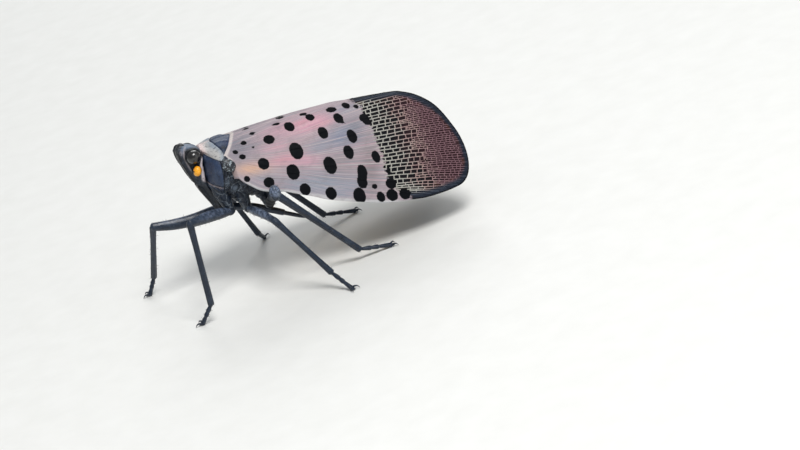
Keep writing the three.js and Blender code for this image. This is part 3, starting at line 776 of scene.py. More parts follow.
@dataclass(frozen=True)
class WingForm:
    """The roof-like surface of the folded forewings, as functions of x along the body.

    A place on it is (x, t), with t from 0 on the ridge to 1 on the costal edge. Its markings use
    (x, w), with w the distance in millimetres down the wing from the ridge.
    """

    midline_half_gap: float = 0.15
    ridge_height: float = 1.7
    ridge_slope: float = 0.378
    ridge_curve: float = 0.0083
    costal_height: float = -0.3
    costal_drop: float = 2.25
    costal_run: float = 4.0
    root_spread: float = 3.2
    spread_gain: float = 2.1
    spread_run: float = 6.0
    flatness: float = 0.2

    def spread(self, x: np.ndarray) -> np.ndarray:
        """How far out from the midline the costal edge lies."""
        return self.root_spread + self.spread_gain * (1 - np.exp(-x / self.spread_run))

    def ridge(self, x: np.ndarray) -> np.ndarray:
        """Height of the ridge."""
        return self.ridge_height + self.ridge_slope * x - self.ridge_curve * x * x

    def costal(self, x: np.ndarray) -> np.ndarray:
        """Height of the costal edge."""
        return self.costal_height - self.costal_drop * (1 - np.exp(-x / self.costal_run))

    def height(self, x: np.ndarray, t: np.ndarray) -> np.ndarray:
        """Height of the surface."""
        fall = self.flatness * t + (1 - self.flatness) * t * t
        return self.ridge(x) - (self.ridge(x) - self.costal(x)) * fall

    def _sheet(self, x: np.ndarray, t: np.ndarray) -> np.ndarray:
        return np.stack([x, -self.midline_half_gap - self.spread(x) * t, self.height(x, t)], axis=-1)

    def place(self, x: np.ndarray, t: np.ndarray, offset: np.ndarray | float = 0.0) -> np.ndarray:
        """Points of the left wing in the body frame, moved out along the surface's normal."""
        step = 0.01
        along_x = self._sheet(x + step, t) - self._sheet(x - step, t)
        along_t = self._sheet(x, t + step) - self._sheet(x, t - step)
        normal = unit(np.cross(along_t, along_x))
        normal = normal * np.where(normal[..., 2:] < 0, -1.0, 1.0)
        moved = self._sheet(x, t) + normal * np.asarray(offset)[..., None]
        moved[..., 1] = np.minimum(moved[..., 1], -self.midline_half_gap)
        return moved

    def arc(self, x: np.ndarray, t: np.ndarray) -> np.ndarray:
        """Distance down the wing from the ridge to t."""
        width, drop = self.spread(x), self.ridge(x) - self.costal(x)
        slope = 2 * (1 - self.flatness)

        def length(s: np.ndarray) -> np.ndarray:
            straight = s / 2 * np.sqrt(width**2 + (drop * s) ** 2)
            return straight + width**2 / (2 * drop) * np.arcsinh(drop * s / width)

        return (length(self.flatness + slope * t) - length(self.flatness)) / slope

    def share(self, x: np.ndarray, w: np.ndarray) -> np.ndarray:
        """The t that lies at a distance w down the wing, found by Newton's steps."""
        t = w / self.arc(x, np.ones_like(x))
        slope = 2 * (1 - self.flatness)
        for _ in range(8):
            rate = np.hypot(self.spread(x), (self.ridge(x) - self.costal(x)) * (self.flatness + slope * t))
            t = t - (self.arc(x, t) - w) / rate
        return t


WING = WingForm()

FOREWING_ROOT = [(0.65, 0), (0.2, 0.38), (-0.36, 0.7), (0.14, 0.8), (0.42, 0.9), (0.62, 1)]
FOREWING_TIP = [
    (8.5, 0), (11.3, 0), (14.11, 0), (14.94, 0.039), (15.58, 0.092), (16.2, 0.16), (17.28, 0.296),
    (18.35, 0.47), (19.12, 0.596), (19.64, 0.717), (19.75, 0.823), (19.32, 0.895), (18.3, 0.934),
    (16.47, 0.973), (15.09, 0.99), (13, 1), (11.5, 1),
]
HINDWING_ROOT = [(2.3, 0.2), (2.25, 0.4), (2.25, 0.6), (2.3, 0.78)]
HINDWING_TIP = [
    (9, 0.12), (12, 0.13), (14.6, 0.18), (16.4, 0.32), (17, 0.5),
    (16.3, 0.68), (14.4, 0.8), (11, 0.86), (8, 0.86),
]
FOREWING_VEINS = (0.09, 0.2, 0.3, 0.38, 0.46, 0.54, 0.62, 0.7, 0.79)
HINDWING_VEINS = (0.12, 0.26, 0.4, 0.54, 0.68, 0.84)


@dataclass(frozen=True)
class Fan:
    """A wing's chart: lines fanned from its root edge (u = 0) to its outer end (u = 1).

    Attributes:
        root, tip: corners (x, t) of the two edges.
        inner_end: share of the lines at each side that spread over the ends of the root edge.
        hinge: part of the root edge that the other lines start from.
        t_scale: millimetres that one unit of t counts for when lines are spaced along an edge.
    """

    root: Sequence[Chart]
    tip: Sequence[Chart]
    inner_end: float = 0.06
    hinge: Chart = (0.42, 0.95)
    t_scale: float = 10.0

    def _edge(self, corners: Sequence[Chart], shares: np.ndarray) -> np.ndarray:
        return evenly([(x, t * self.t_scale) for x, t in corners], shares)

    def chart(self, u: np.ndarray, v: np.ndarray) -> tuple[np.ndarray, np.ndarray]:
        """Places (x, t) at rows u and columns v.

        Args:
            u: shares of the way from root to end.
            v: shares of the way from the ridge side to the costal side.

        Returns:
            Two grids, x and t, with a row for each u and a column for each v.
        """
        ends = [0.0, self.inner_end, 1 - self.inner_end, 1.0]
        root_share = np.interp(v, ends, [0.0, self.hinge[0], self.hinge[1], 1.0])
        start = self._edge(self.root, root_share)[None]
        end = self._edge(self.tip, v)[None]
        across = start + (end - start) * u[:, None, None]
        return across[..., 0], np.clip(across[..., 1] / self.t_scale, 0.0, 1.0)


@dataclass(frozen=True)
class Spot:
    """A black spot on the forewing: centre and half sizes on the (x, w) chart, in millimetres."""

    x: float
    w: float
    half_x: float
    half_w: float
    lean: float = 0.25

    def distance(self, x: np.ndarray, w: np.ndarray) -> np.ndarray:
        """About how far places lie outside the spot's edge, less than 0 inside it."""
        down = w - self.w
        along = x - self.x - self.lean * down
        size = min(self.half_x, self.half_w)
        return (np.hypot(along / self.half_x, down / self.half_w) - 1) * size


SPOTS = (
    Spot(1.82, 0.13, 0.30, 0.12), Spot(4.66, 0.14, 0.35, 0.14), Spot(6.46, 0.50, 0.30, 0.18),
    Spot(2.16, 0.93, 0.27, 0.16), Spot(4.16, 0.74, 0.37, 0.14), Spot(1.32, 1.62, 0.23, 0.22),
    Spot(1.99, 2.28, 0.11, 0.09), Spot(0.53, 2.26, 0.21, 0.21), Spot(1.03, 2.86, 0.26, 0.24),
    Spot(3.35, 2.02, 0.44, 0.44), Spot(5.13, 1.38, 0.39, 0.50), Spot(6.92, 1.03, 0.34, 0.38),
    Spot(2.66, 3.96, 0.44, 0.52), Spot(5.40, 3.67, 0.53, 0.76), Spot(7.73, 2.74, 0.39, 0.56),
    Spot(4.98, 5.32, 0.51, 0.68), Spot(8.05, 5.56, 0.51, 0.76), Spot(9.15, 1.76, 0.37, 0.50),
    Spot(9.42, 2.16, 0.12, 0.22, 0.80), Spot(8.74, 0.78, 0.42, 0.30), Spot(9.99, 0.68, 0.31, 0.38),
    Spot(10.06, 3.57, 0.39, 0.61), Spot(9.65, 4.83, 0.41, 0.60), Spot(11.89, 5.65, 0.34, 0.52),
    Spot(10.67, 6.64, 0.39, 0.59), Spot(10.62, 7.48, 0.41, 0.56), Spot(10.34, 8.55, 0.50, 0.68),
    Spot(1.18, 4.82, 0.25, 0.27), Spot(2.96, 5.60, 0.43, 0.44), Spot(5.87, 6.98, 0.43, 0.52),
    Spot(7.99, 7.84, 0.44, 0.54), Spot(11.64, 8.04, 0.22, 0.22), Spot(12.13, 8.98, 0.34, 0.44),
    Spot(13.08, 8.99, 0.48, 0.50), Spot(13.03, 8.05, 0.44, 0.46), Spot(14.17, 9.06, 0.45, 0.47),
    Spot(10.78, 1.02, 0.20, 0.23), Spot(11.24, 2.20, 0.39, 0.39, 0.10), Spot(11.48, 2.62, 0.36, 0.30, 0.40),
    Spot(10.65, 7.06, 0.38, 0.45), Spot(12.75, 6.62, 0.32, 0.17), Spot(12.88, 7.02, 0.32, 0.16),
)
NET_FRONT = [
    (10.3, -0.5), (10.61, 0.31), (11.12, 1.04), (11.30, 2.42), (11.79, 3.22), (12.01, 4.29), (12.41, 5.61),
    (12.61, 6.46), (12.65, 7.04), (12.94, 8.15), (13.59, 8.66), (14.59, 9.30), (15.4, 10.6),
]


def spot_distance(x: np.ndarray, w: np.ndarray, spots: Sequence[Spot] = SPOTS) -> np.ndarray:
    """How far places lie outside the nearest spot."""
    return np.min([spot.distance(x, w) for spot in spots], axis=0)


@dataclass(frozen=True)
class Patch:
    """A soft patch of colour on the (x, w) chart."""

    x: float
    w: float
    half_x: float
    half_w: float
    colour: Colour
    strength: float
    lean: float = 0.0

    def share(self, x: np.ndarray, w: np.ndarray) -> np.ndarray:
        """How much of the patch's colour shows at each place."""
        down = w - self.w - self.lean * (x - self.x)
        return self.strength * bell((x - self.x) / self.half_x, down / self.half_w)


FOREWING_PATCHES = (
    Patch(0.9, 1.9, 1.3, 1.5, Hue.WING_GREY, 0.85),
    Patch(2.4, 5.1, 1.2, 0.5, Hue.WING_HAZE, 0.6, 0.2),
    Patch(1.7, 4.1, 1.4, 0.5, Hue.WING_TAN, 0.85, 0.2),
    Patch(4.2, 1.4, 1.3, 0.7, Hue.WING_ROSE, 0.4),
    Patch(6.8, 1.6, 1.9, 0.8, Hue.WING_ROSE, 0.95, -0.1),
    Patch(6.2, 1.3, 1.0, 0.25, Hue.WING_PINK, 0.6, -0.1),
    Patch(8.0, 1.9, 0.9, 0.25, Hue.WING_PINK, 0.6, -0.15),
    Patch(4.5, 4.1, 1.5, 0.5, Hue.WING_PINK, 0.7, 0.12),
    Patch(6.3, 4.7, 1.2, 0.45, Hue.WING_ROSE, 0.7, 0.15),
    Patch(3.7, 2.8, 1.2, 0.4, Hue.WING_ROSE, 0.5, 0.1),
    Patch(7.3, 3.8, 1.0, 0.6, Hue.WING_HAZE, 0.7),
    Patch(9.3, 3.4, 1.3, 1.0, Hue.WING_BLUE, 0.95),
    Patch(10.4, 3.1, 0.7, 0.9, Hue.WING_GREY, 0.75),
    Patch(9.8, 1.0, 1.2, 0.5, Hue.WING_HAZE, 0.6),
    Patch(7.4, 6.9, 2.2, 0.9, Hue.WING_HAZE, 0.95, 0.2),
    Patch(9.3, 7.8, 1.8, 0.8, Hue.WING_HAZE, 0.9),
    Patch(5.4, 6.6, 1.6, 0.6, Hue.WING_HAZE, 0.85, 0.25),
    Patch(11.4, 6.6, 0.9, 2.4, Hue.WING_ASH, 0.9),
    Patch(9.0, 5.6, 1.2, 0.9, Hue.WING_ASH, 0.5),
)


@dataclass(frozen=True)
class VeinNet:
    """The net of fine veins over the outer third of the forewing, on the (x, w) chart.

    Rows start along the net's front and run out to the wing's edge. Further out each lane between
    two of them is split in two, and short veins cross the lanes.

    Attributes:
        pitch: distance between rows at the front.
        low_end: w of the lowest row.
        tilt_top, tilt_low: how the rows lean near the ridge and near the costal edge, in radians.
        fork_after, fork_spread: how far behind the front each lane is split, and how much that varies.
        cross_near, cross_far: spacing of the veins across the lanes before and after the split.
        lead: how far the rows reach in front of the net.
        width_near, width_far: half widths of the veins.
        wave: how far the rows sway.
        step: distance between points of a row.
        reach: x that the rows would end at.
        depth: distance from the front over which "outward" runs from 0 to 1.
    """

    pitch: float = 0.32
    low_end: float = 9.4
    tilt_top: float = math.radians(-7.0)
    tilt_low: float = math.radians(5.0)
    fork_after: float = 3.15
    fork_spread: float = 0.95
    cross_near: float = 0.56
    cross_far: float = 0.4
    lead: float = 0.22
    width_near: float = 0.049
    width_far: float = 0.027
    wave: float = 0.03
    step: float = 0.14
    reach: float = 21.0
    depth: float = 5.0

    def _rows(self, random: np.random.Generator) -> list[tuple[float, Callable]]:
        """Each row as its first x and a function from x to w."""
        corners = np.array([corner for corner in NET_FRONT if 0 <= corner[1] <= self.low_end])
        lengths = np.concatenate([[0], np.cumsum(np.hypot(*np.diff(corners, axis=0).T))])
        rows = []
        for k in range(int(lengths[-1] / self.pitch)):
            along = (k + 0.5 + random.uniform(-0.12, 0.12)) * self.pitch
            x0, w0 = (float(np.interp(along, lengths, column)) for column in corners.T)
            lean = math.tan(self.tilt_top + (self.tilt_low - self.tilt_top) * min(w0 / 9.0, 1.0))
            phase, sway = random.uniform(0, 2 * math.pi), random.uniform(0.5, 1.0) * self.wave

            def row(x, x0=x0, w0=w0, lean=lean, phase=phase, sway=sway):
                return w0 + lean * (x - x0) + sway * np.sin(1.7 * (x - x0) + phase)

            rows.append((x0 - self.lead, row))
        return rows

    def build(self, edge_distance: Callable) -> tuple[np.ndarray, list, np.ndarray]:
        """Draws the net.

        Args:
            edge_distance: how far a place (x, w) lies inside the wing's edge.

        Returns:
            Places (x, w), pairs of place numbers, and how far out each place is, from 0 to 1.
        """
        random = np.random.default_rng(SEED)
        rows = self._rows(random)
        places: list[Chart] = []
        pairs: list[tuple[int, int]] = []

        def chain(xs: np.ndarray, ws: np.ndarray, stop: float = 0.5) -> None:
            inside = (edge_distance(xs, ws) > stop) & (spot_distance(xs, ws) > -0.03)
            linked = False
            for x, w, keep in zip(xs, ws, inside):
                if keep:
                    places.append((float(x), float(w)))
                    if linked:
                        pairs.append((len(places) - 2, len(places) - 1))
                linked = keep

        def cross(top_x: float, low_x: float, upper: Callable, lower: Callable) -> None:
            chain(np.array([top_x, low_x]), np.array([float(upper(top_x)), float(lower(low_x))]))

        lanes = []
        for start, row in rows:
            xs = np.arange(start, self.reach, self.step)
            chain(xs, row(xs), random.uniform(0.1, 0.3))
        for (start, upper), (next_start, lower) in zip(rows[:-1], rows[1:]):
            start = max(start, next_start) + self.lead
            fork = start + self.fork_after + random.uniform(-self.fork_spread, self.fork_spread)

            def middle(x, upper=upper, lower=lower):
                return (upper(x) + lower(x)) / 2

            cross(fork, fork, upper, lower)
            xs = np.arange(fork, self.reach, self.step)
            chain(xs, middle(xs), random.uniform(0.2, 0.5))
            lanes.append((start, fork, upper, lower, self.cross_near))
            lanes.append((fork, self.reach, upper, middle, self.cross_far))
            lanes.append((fork, self.reach, middle, lower, self.cross_far))
        for k, (start, end, upper, lower, spacing) in enumerate(lanes):
            x = start + spacing * (0.3 + 0.5 * (k % 2)) + random.uniform(-0.1, 0.1)
            while x < end:
                cross(x, x + random.uniform(-0.06, 0.06), upper, lower)
                x += spacing * random.uniform(0.7, 1.35)
        flat = np.array(places)
        outward = (flat[:, 0] - at_level(NET_FRONT, flat[:, 1])) / self.depth
        return flat, pairs, np.clip(outward, 0.0, 1.0)


class GrowTree(Nodes):
    """A geometry node tree with named inputs, applied to a piece and then left behind."""

    def __init__(self, name: str) -> None:
        super().__init__(bpy.data.node_groups.new(name, "GeometryNodeTree"))
        for way in ("INPUT", "OUTPUT"):
            self.tree.interface.new_socket("Geometry", in_out=way, socket_type="NodeSocketGeometry")
        self.start = self.tree.nodes.new("NodeGroupInput")
        self.end = self.tree.nodes.new("NodeGroupOutput")
        self.numbers: dict[str, object] = {}

    def ask(self, name: str, kind: str, value) -> Socket:
        """Adds a named input with the value that it is given on the piece."""
        socket = self.tree.interface.new_socket(name, in_out="INPUT", socket_type=f"NodeSocket{kind}")
        self.numbers[socket.identifier] = value
        return self.start.outputs[name]

    def dressed(self, geometry: Socket, material: Socket) -> Socket:
        """The geometry made real, in one material."""
        real = self.node("GeometryNodeRealizeInstances", {"Geometry": geometry}).outputs[0]
        return self.node("GeometryNodeSetMaterial", {"Geometry": real, "Material": material}).outputs[0]

    def apply(self, piece: Object, result: Socket) -> None:
        """Grows the geometry on the piece and keeps it as a plain mesh.

        Args:
            piece: the object that the tree works on.
            result: the socket that holds the finished geometry.
        """
        self.tree.links.new(result, self.end.inputs["Geometry"])
        modifier = piece.modifiers.new(self.tree.name, "NODES")
        modifier.node_group = self.tree
        for identifier, value in self.numbers.items():
            modifier[identifier] = value
        piece.update_tag()
        bpy.context.view_layer.update()
        depsgraph = bpy.context.evaluated_depsgraph_get()
        grown = bpy.data.meshes.new_from_object(piece.evaluated_get(depsgraph), depsgraph=depsgraph)
        bare = piece.data
        piece.modifiers.clear()
        piece.data = grown
        bpy.data.meshes.remove(bare)


@dataclass(frozen=True)
class Bristles:
    """Short stiff hairs scattered over a piece.

    Attributes:
        density: hairs on each square millimetre.
        length: shortest and longest, in millimetres.
        radius: radius at the root, in millimetres.
        lean: the most that a hair leans from the surface's normal, in radians.
        lowest: height over the floor below which no hair grows, in millimetres.
        seed: seed of the scatter.
    """

    density: float = 6.0
    length: Chart = (0.12, 0.26)
    radius: float = 0.012
    lean: float = 0.7
    lowest: float = 0.45
    seed: int = SEED

    def grow(self, piece: Object) -> None:
        """Adds the hairs to the piece's mesh."""
        tree = GrowTree("bristles")
        density = tree.ask("Density", "Float", self.density / MILLIMETRE**2)
        seed = tree.ask("Seed", "Int", self.seed)
        short = tree.ask("Shortest", "Float", self.length[0] * MILLIMETRE)
        long = tree.ask("Longest", "Float", self.length[1] * MILLIMETRE)
        material = tree.ask("Hair", "Material", hair_finish())
        lowest = tree.ask("Lowest", "Float", self.lowest * MILLIMETRE)
        host = tree.start.outputs["Geometry"]
        position = tree.node("GeometryNodeInputPosition").outputs[0]
        height = tree.node("ShaderNodeSeparateXYZ", {"Vector": position}).outputs["Z"]
        clear = tree.node("FunctionNodeCompare", {"A": height, "B": lowest}, operation="GREATER_THAN")
        spread = {"Mesh": host, "Density": density, "Seed": seed, "Selection": clear.outputs[0]}
        scatter = tree.node("GeometryNodeDistributePointsOnFaces", spread)
        sizes = {"Vertices": 4, "Radius Top": 0.0, "Radius Bottom": self.radius * MILLIMETRE, "Depth": 1.0}
        cone = tree.node("GeometryNodeMeshCone", sizes)
        turn = {"Min": (-self.lean, -self.lean, 0.0), "Max": (self.lean, self.lean, 3.0), "Seed": seed}
        sway = tree.node("FunctionNodeRandomValue", turn, data_type="FLOAT_VECTOR")
        bend = tree.node("FunctionNodeEulerToRotation", {"Euler": sway.outputs[0]})
        spin = {"Rotation": scatter.outputs["Rotation"], "Rotate By": bend.outputs[0]}
        aim = tree.node("FunctionNodeRotateRotation", spin, rotation_space="LOCAL")
        reach = {"Min_001": short, "Max_001": long, "Seed": seed}
        size = tree.node("FunctionNodeRandomValue", reach, data_type="FLOAT")
        scale = tree.node("ShaderNodeCombineXYZ", {"X": 1.0, "Y": 1.0, "Z": size.outputs[1]})
        ways = {"Points": scatter.outputs["Points"], "Instance": cone.outputs["Mesh"]}
        ways |= {"Rotation": aim.outputs[0], "Scale": scale.outputs[0]}
        placed = tree.node("GeometryNodeInstanceOnPoints", ways)
        both = tree.node("GeometryNodeJoinGeometry")
        for part in (tree.dressed(placed.outputs[0], material), host):
            tree.tree.links.new(part, both.inputs[0])
        tree.apply(piece, both.outputs[0])


def both_faces(grid: np.ndarray) -> np.ndarray:
    """What a sheet's grid holds, for the points of its outer face and again for its inner one."""
    return np.concatenate([grid.reshape(-1, *grid.shape[2:])] * 2)


@dataclass(frozen=True)
class Forewing:
    """A spotted forewing: a thin sheet with raised main veins, and the net of fine veins on it.

    Attributes:
        thickness: of the sheet.
        rows, columns: points of the sheet before those along the veins.
        vein_height: how far the main veins stand out.
        vein_offsets: columns each side of a vein, as shares of the fan.
        tuck, tuck_fall: how far the root edge reaches forward and down under the thorax's rim.
        tuck_rows: rows of that stretch.
        hem: width of the pale stripe along the front edge.
        droop_near, droop_far: how much the costal edge is drawn down behind the root and near the end.
        overlap: how far the right wing's end lies below the left wing's.
        ridge_gap: distance from the ridge edge to the midline.
        rim_gain: how much narrower the slate rim is round the wing's end than above and below it.
        end_start: x where the wing's outer end begins.
        ridge_end: x where the ridge ends.
        fan, net: the sheet's chart and the net of fine veins.
    """

    thickness: float = 0.09
    rows: int = 150
    columns: int = 130
    vein_height: float = 0.035
    vein_offsets: tuple[float, ...] = (0.0014, 0.0028, 0.0048, 0.009)
    tuck: float = 0.3
    tuck_fall: float = 0.42
    tuck_rows: int = 5
    hem: float = 0.2
    droop_near: float = 0.066
    droop_far: float = 0.012
    overlap: float = 0.3
    ridge_gap: float = 0.015
    rim_gain: float = 0.7
    end_start: float = 9.0
    ridge_end: float = 14.11
    fan: Fan = Fan(FOREWING_ROOT, FOREWING_TIP)
    net: VeinNet = VeinNet()

    def _columns(self) -> np.ndarray:
        """The fan's columns, closer together along the veins."""
        plain = np.linspace(0, 1, self.columns)
        sides = [sign * offset for offset in self.vein_offsets for sign in (-1, 1)]
        near = [vein + offset for vein in FOREWING_VEINS for offset in sides]
        clear = nearest(plain, FOREWING_VEINS) > self.vein_offsets[-1] * 1.2
        kept = plain[clear | (plain == 0) | (plain == 1)]
        return np.sort(np.concatenate([kept, near, FOREWING_VEINS]))

    def _chart(self, u: np.ndarray, v: np.ndarray) -> tuple[np.ndarray, np.ndarray]:
        """The fan's places, with the costal edge drawn down a little behind the root and near the end."""
        x, t = self.fan.chart(u, v)
        near = smooth(x, 0.1, 0.8) * smooth(x, 4.5, 1.9)
        far = smooth(x, 6.2, 8.0) * smooth(x, 15.0, 12.0)
        return x, t * (1 + (self.droop_near * near + self.droop_far * far) * smooth(t, 0.6, 1.0))

    def _edge(self) -> np.ndarray:
        """Points (x, w) round the outer edge, from the ridge to the costal edge."""
        x, t = self._chart(np.array([1.0]), np.linspace(0, 1, 500))
        ridge_x = np.linspace(self.end_start, self.ridge_end, 40)
        edge = np.column_stack([x[0], WING.arc(x[0], t[0])])
        ridge = np.column_stack([ridge_x, np.zeros_like(ridge_x)])
        return np.concatenate([ridge, edge[edge[:, 0] > self.end_start]])

    def edge_distance(self, x: np.ndarray, w: np.ndarray) -> np.ndarray:
        """How far places lie inside the outer edge, less than 0 outside it."""
        edge = self._edge()
        flat_x, flat_w = x.ravel(), w.ravel()
        best = np.full(len(flat_x), np.inf)
        for edge_x, edge_w in edge:
            best = np.minimum(best, np.hypot(flat_x - edge_x, flat_w - edge_w))
        outermost = np.argmax(edge[:, 0])
        top = np.interp(flat_x, *edge[: outermost + 1].T)
        bottom = np.interp(flat_x, *edge[outermost:][::-1].T)
        inside = (flat_w > top) & (flat_w < bottom) & (flat_x < edge[outermost, 0])
        return np.where(inside, best, -best).reshape(x.shape)

    def _rim_distance(self, x: np.ndarray, w: np.ndarray) -> np.ndarray:
        """The edge distance that the slate rim goes by: greater round the wing's end, to make it narrow."""
        gain = 1 + self.rim_gain * smooth(w, 1.8, 3.6) * smooth(w, 8.4, 6.6)
        return self.edge_distance(x, w) * gain

    def _placed(self, side: Side, x: np.ndarray, t: np.ndarray, lift: np.ndarray | float) -> np.ndarray:
        """Points of the wing, built on the left, with its ridge edge close to the other wing's."""
        points = WING.place(x, t, lift)
        points[..., 1] += (WING.midline_half_gap - self.ridge_gap) * smooth(t, 0.07, 0.0)
        if side is Side.RIGHT:
            points[..., 2] -= self.overlap * smooth(x, 9.0, 13.5)
        return points

    def _paint(self, shell: Shell, x: np.ndarray, t: np.ndarray, u: np.ndarray, v: np.ndarray) -> None:
        """Stores the markings at the points of both faces."""
        w = WING.arc(x, t)
        front = -line_distance(x, w, NET_FRONT)[1]
        from_edge = WING.arc(x, np.repeat(t[:, -1:], t.shape[1], axis=1)) - w
        costal = 0.9 * smooth(from_edge, 0.3, 0.12) * smooth(x, 0.4, 1.6)
        behind = np.where(t < 0.78, x - at_level(FOREWING_ROOT, t), np.inf)
        hem = smooth(behind, self.hem * 1.3, self.hem * 0.7)
        patches = [(patch.colour, patch.share(x, w)) for patch in FOREWING_PATCHES]
        tint = layered(Hue.WING_GROUND, *patches, (Hue.WING_COSTAL, costal), (Hue.HEM, hem))
        values = {
            "spot": spot_distance(x, w),
            "front": front,
            "edge": self._rim_distance(x, w),
            "vein": bell(nearest(v, FOREWING_VEINS) / 0.0028) * smooth(u, 0.0, 0.12),
            "outward": np.minimum(np.maximum(-front, 0) / 5.5, 1.0),
        }
        shell.values |= {key: both_faces(grid) for key, grid in values.items()}
        shell.tints["tint"] = both_faces(tint)
        shell.charts |= {"fan": both_faces(np.stack([u, v], -1)), "marks": both_faces(np.stack([x, w], -1))}

    def build(self, side: Side) -> None:
        """Makes the wing and its net on one side."""
        v = self._columns()
        u = np.linspace(0, 1, self.rows) ** 1.15
        x, t = self._chart(u, v)
        girth = 0.0022 + 0.005 * (1 - u[:, None]) ** 2
        fade = smooth(u, 0.0, 0.1) * (1 - 0.6 * smooth(u, 0.8, 1.0))
        lift = self.vein_height * fade[:, None] * bell(nearest(v, FOREWING_VEINS) / girth)
        steps = np.linspace(1, 0, self.tuck_rows, endpoint=False)[:, None]
        x = np.concatenate([x[:1] - self.tuck * steps, x])
        t = np.concatenate([np.repeat(t[:1], self.tuck_rows, axis=0), t])
        lift = np.concatenate([-self.tuck_fall * steps**2 * np.ones_like(t[:1]), lift])
        outer = self._placed(side, x, t, lift)
        shell = closed_sheet(outer, self._placed(side, x, t, np.minimum(lift, 0) - self.thickness))
        u = np.concatenate([np.zeros(self.tuck_rows), u])
        self._paint(shell, x, t, *np.meshgrid(u, v, indexing="ij"))
        name = f"forewing_{side.word}"
        make_piece(f"{name}_membrane", shell.carried().mirrored(side), forewing_finish(), [name])
        self._build_net(side, f"{name}_net")

    def _build_net(self, side: Side, name: str) -> None:
        """Sweeps a round thread along each vein of the net."""
        net = self.net
        flat, pairs, outward = net.build(self.edge_distance)
        x, w = flat.T
        t = np.clip(WING.share(x, w), 0.0, 1.0)
        points = self._placed(side, x, t, 0.0) * (FLIP if side is Side.RIGHT else 1.0)
        mesh = bpy.data.meshes.new(name)
        mesh.from_pydata(STANCE.in_row(STANCE.carried(points)).tolist(), pairs, [])
        lead = np.clip((x - at_level(NET_FRONT, w) + net.lead) / net.lead, 0.0, 1.0)
        rim = smooth(self._rim_distance(x, w), 0.12, 1.0)
        width = net.width_near + (net.width_far - net.width_near) * outward
        girth = width * (0.35 + 0.65 * lead) * (0.45 + 0.55 * rim) * MILLIMETRE
        store_numbers(mesh, {"outward": outward, "rim": rim, "girth": girth})
        piece = shown(name, mesh)
        tree = GrowTree("vein_net")
        material = tree.ask("Vein", "Material", vein_finish())
        sides = tree.ask("Sides", "Int", 6)
        curve = tree.node("GeometryNodeMeshToCurve", {"Mesh": tree.start.outputs["Geometry"]})
        ring = tree.node("GeometryNodeCurvePrimitiveCircle", {"Resolution": sides, "Radius": 1.0})
        sizes = tree.node("GeometryNodeInputNamedAttribute", {"Name": "girth"}, data_type="FLOAT")
        ways = {"Curve": curve.outputs[0], "Profile Curve": ring.outputs[0], "Scale": sizes.outputs[0]}
        thread = tree.node("GeometryNodeCurveToMesh", ways | {"Fill Caps": True})
        smoothed = tree.node("GeometryNodeSetShadeSmooth", {"Geometry": thread.outputs[0]})
        tree.apply(piece, tree.dressed(smoothed.outputs[0], material))
        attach(piece, "root")


@cache
def forewing_finish() -> Material:
    """Forewing membrane: tinted ground with fine streaks, black spots, dark net cells and slate rim."""
    shader = Shader("forewing")
    marks = shader.here(chart="marks")
    streaks = shader.noise(shader.here((2.2, 110.0, 1.0), "fan"), 1.0, 3.0, 0.6)
    threads = shader.noise(shader.here((3.5, 260.0, 1.0), "fan"), 1.0, 2.0)
    rays = shader.noise(shader.here((6.0, 160.0, 1.0), "fan"), 1.0, 2.0)
    clouds = shader.noise(marks, 1.1, 4.0, 0.6)
    wobble = shader.noise(marks, 5.0, 2.0)
    colour = shader.tint()
    for over, pattern, low, high, most in (
        (Hue.WING_ROSE, streaks, 0.5, 0.66, 0.28),
        (Hue.WING_HAZE, streaks, 0.48, 0.32, 0.5),
        (Hue.WING_CREAM, threads, 0.54, 0.66, 0.6),
        (Hue.WING_GREY, threads, 0.46, 0.34, 0.4),
        (Hue.WING_ASH, clouds, 0.5, 0.3, 0.3),
    ):
        colour = shader.lay(colour, over, pattern, low, high, most)
    colour = shader.mix(shader.times(shader.value("vein"), 0.4), colour, Hue.WING_CREAM)
    patchy = shader.sway(shader.value("outward"), shader.noise(marks, 1.6), 0.12)
    cell = shader.lay(Hue.CELL_NEAR, Hue.CELL_FAR, patchy, 0.2, 0.75)
    front = shader.sway(shader.value("front"), wobble, 0.12)
    colour = shader.lay(colour, cell, front, 0.05, -0.12)
    edge = shader.value("edge")
    rim = shader.sway(edge, rays, 0.08)
    in_net = shader.step(front, 0.35, -0.35)
    tan_share = shader.times(shader.step(rim, 1.15, 0.6, 0.0, 0.45), in_net)
    colour = shader.mix(shader.times(tan_share, shader.step(clouds, 0.45, 0.65)), colour, Hue.MARGIN_TAN)
    slate = shader.lay(Hue.MARGIN, Hue.MARGIN_STREAK, rays, 0.5, 0.7, 0.55)
    slate = shader.lay(slate, Hue.CELL_NEAR, edge, 0.16, 0.06)
    colour = shader.mix(shader.times(shader.step(rim, 0.95, 0.35), in_net), colour, slate)
    spot = shader.sway(shader.value("spot"), wobble, 0.018)
    colour = shader.lay(colour, Hue.SPOT, spot, 0.025, -0.02)
    relief = shader.bump(threads, 0.012, 0.7)
    relief = shader.bump(shader.noise(marks, 9.0, 3.0), 0.015, 0.6, relief)
    rough = shader.step(clouds, 0.3, 0.7, 0.5, 0.66)
    return shader.finish(colour, rough, relief, Specular_IOR_Level=0.06)


@cache
def vein_finish() -> Material:
    """Veins of the net: cream near its front, dull pink further out."""
    shader = Shader("vein")
    place = shader.here()
    out = shader.sway(shader.value("outward"), shader.noise(place, 3.0), 0.15)
    colour = shader.lay(Hue.NET_NEAR, Hue.NET_MIDDLE, out, 0.2, 0.6)
    colour = shader.lay(colour, Hue.NET_FAR, out, 0.5, 0.95)
    colour = shader.lay(colour, Hue.MARGIN_STREAK, shader.value("rim"), 0.8, 0.15)
    colour = shader.lay(colour, Hue.CELL_FAR, shader.noise(place, 14.0), 0.55, 0.35, 0.3)
    return shader.finish(colour, 0.6, Specular_IOR_Level=0.15)


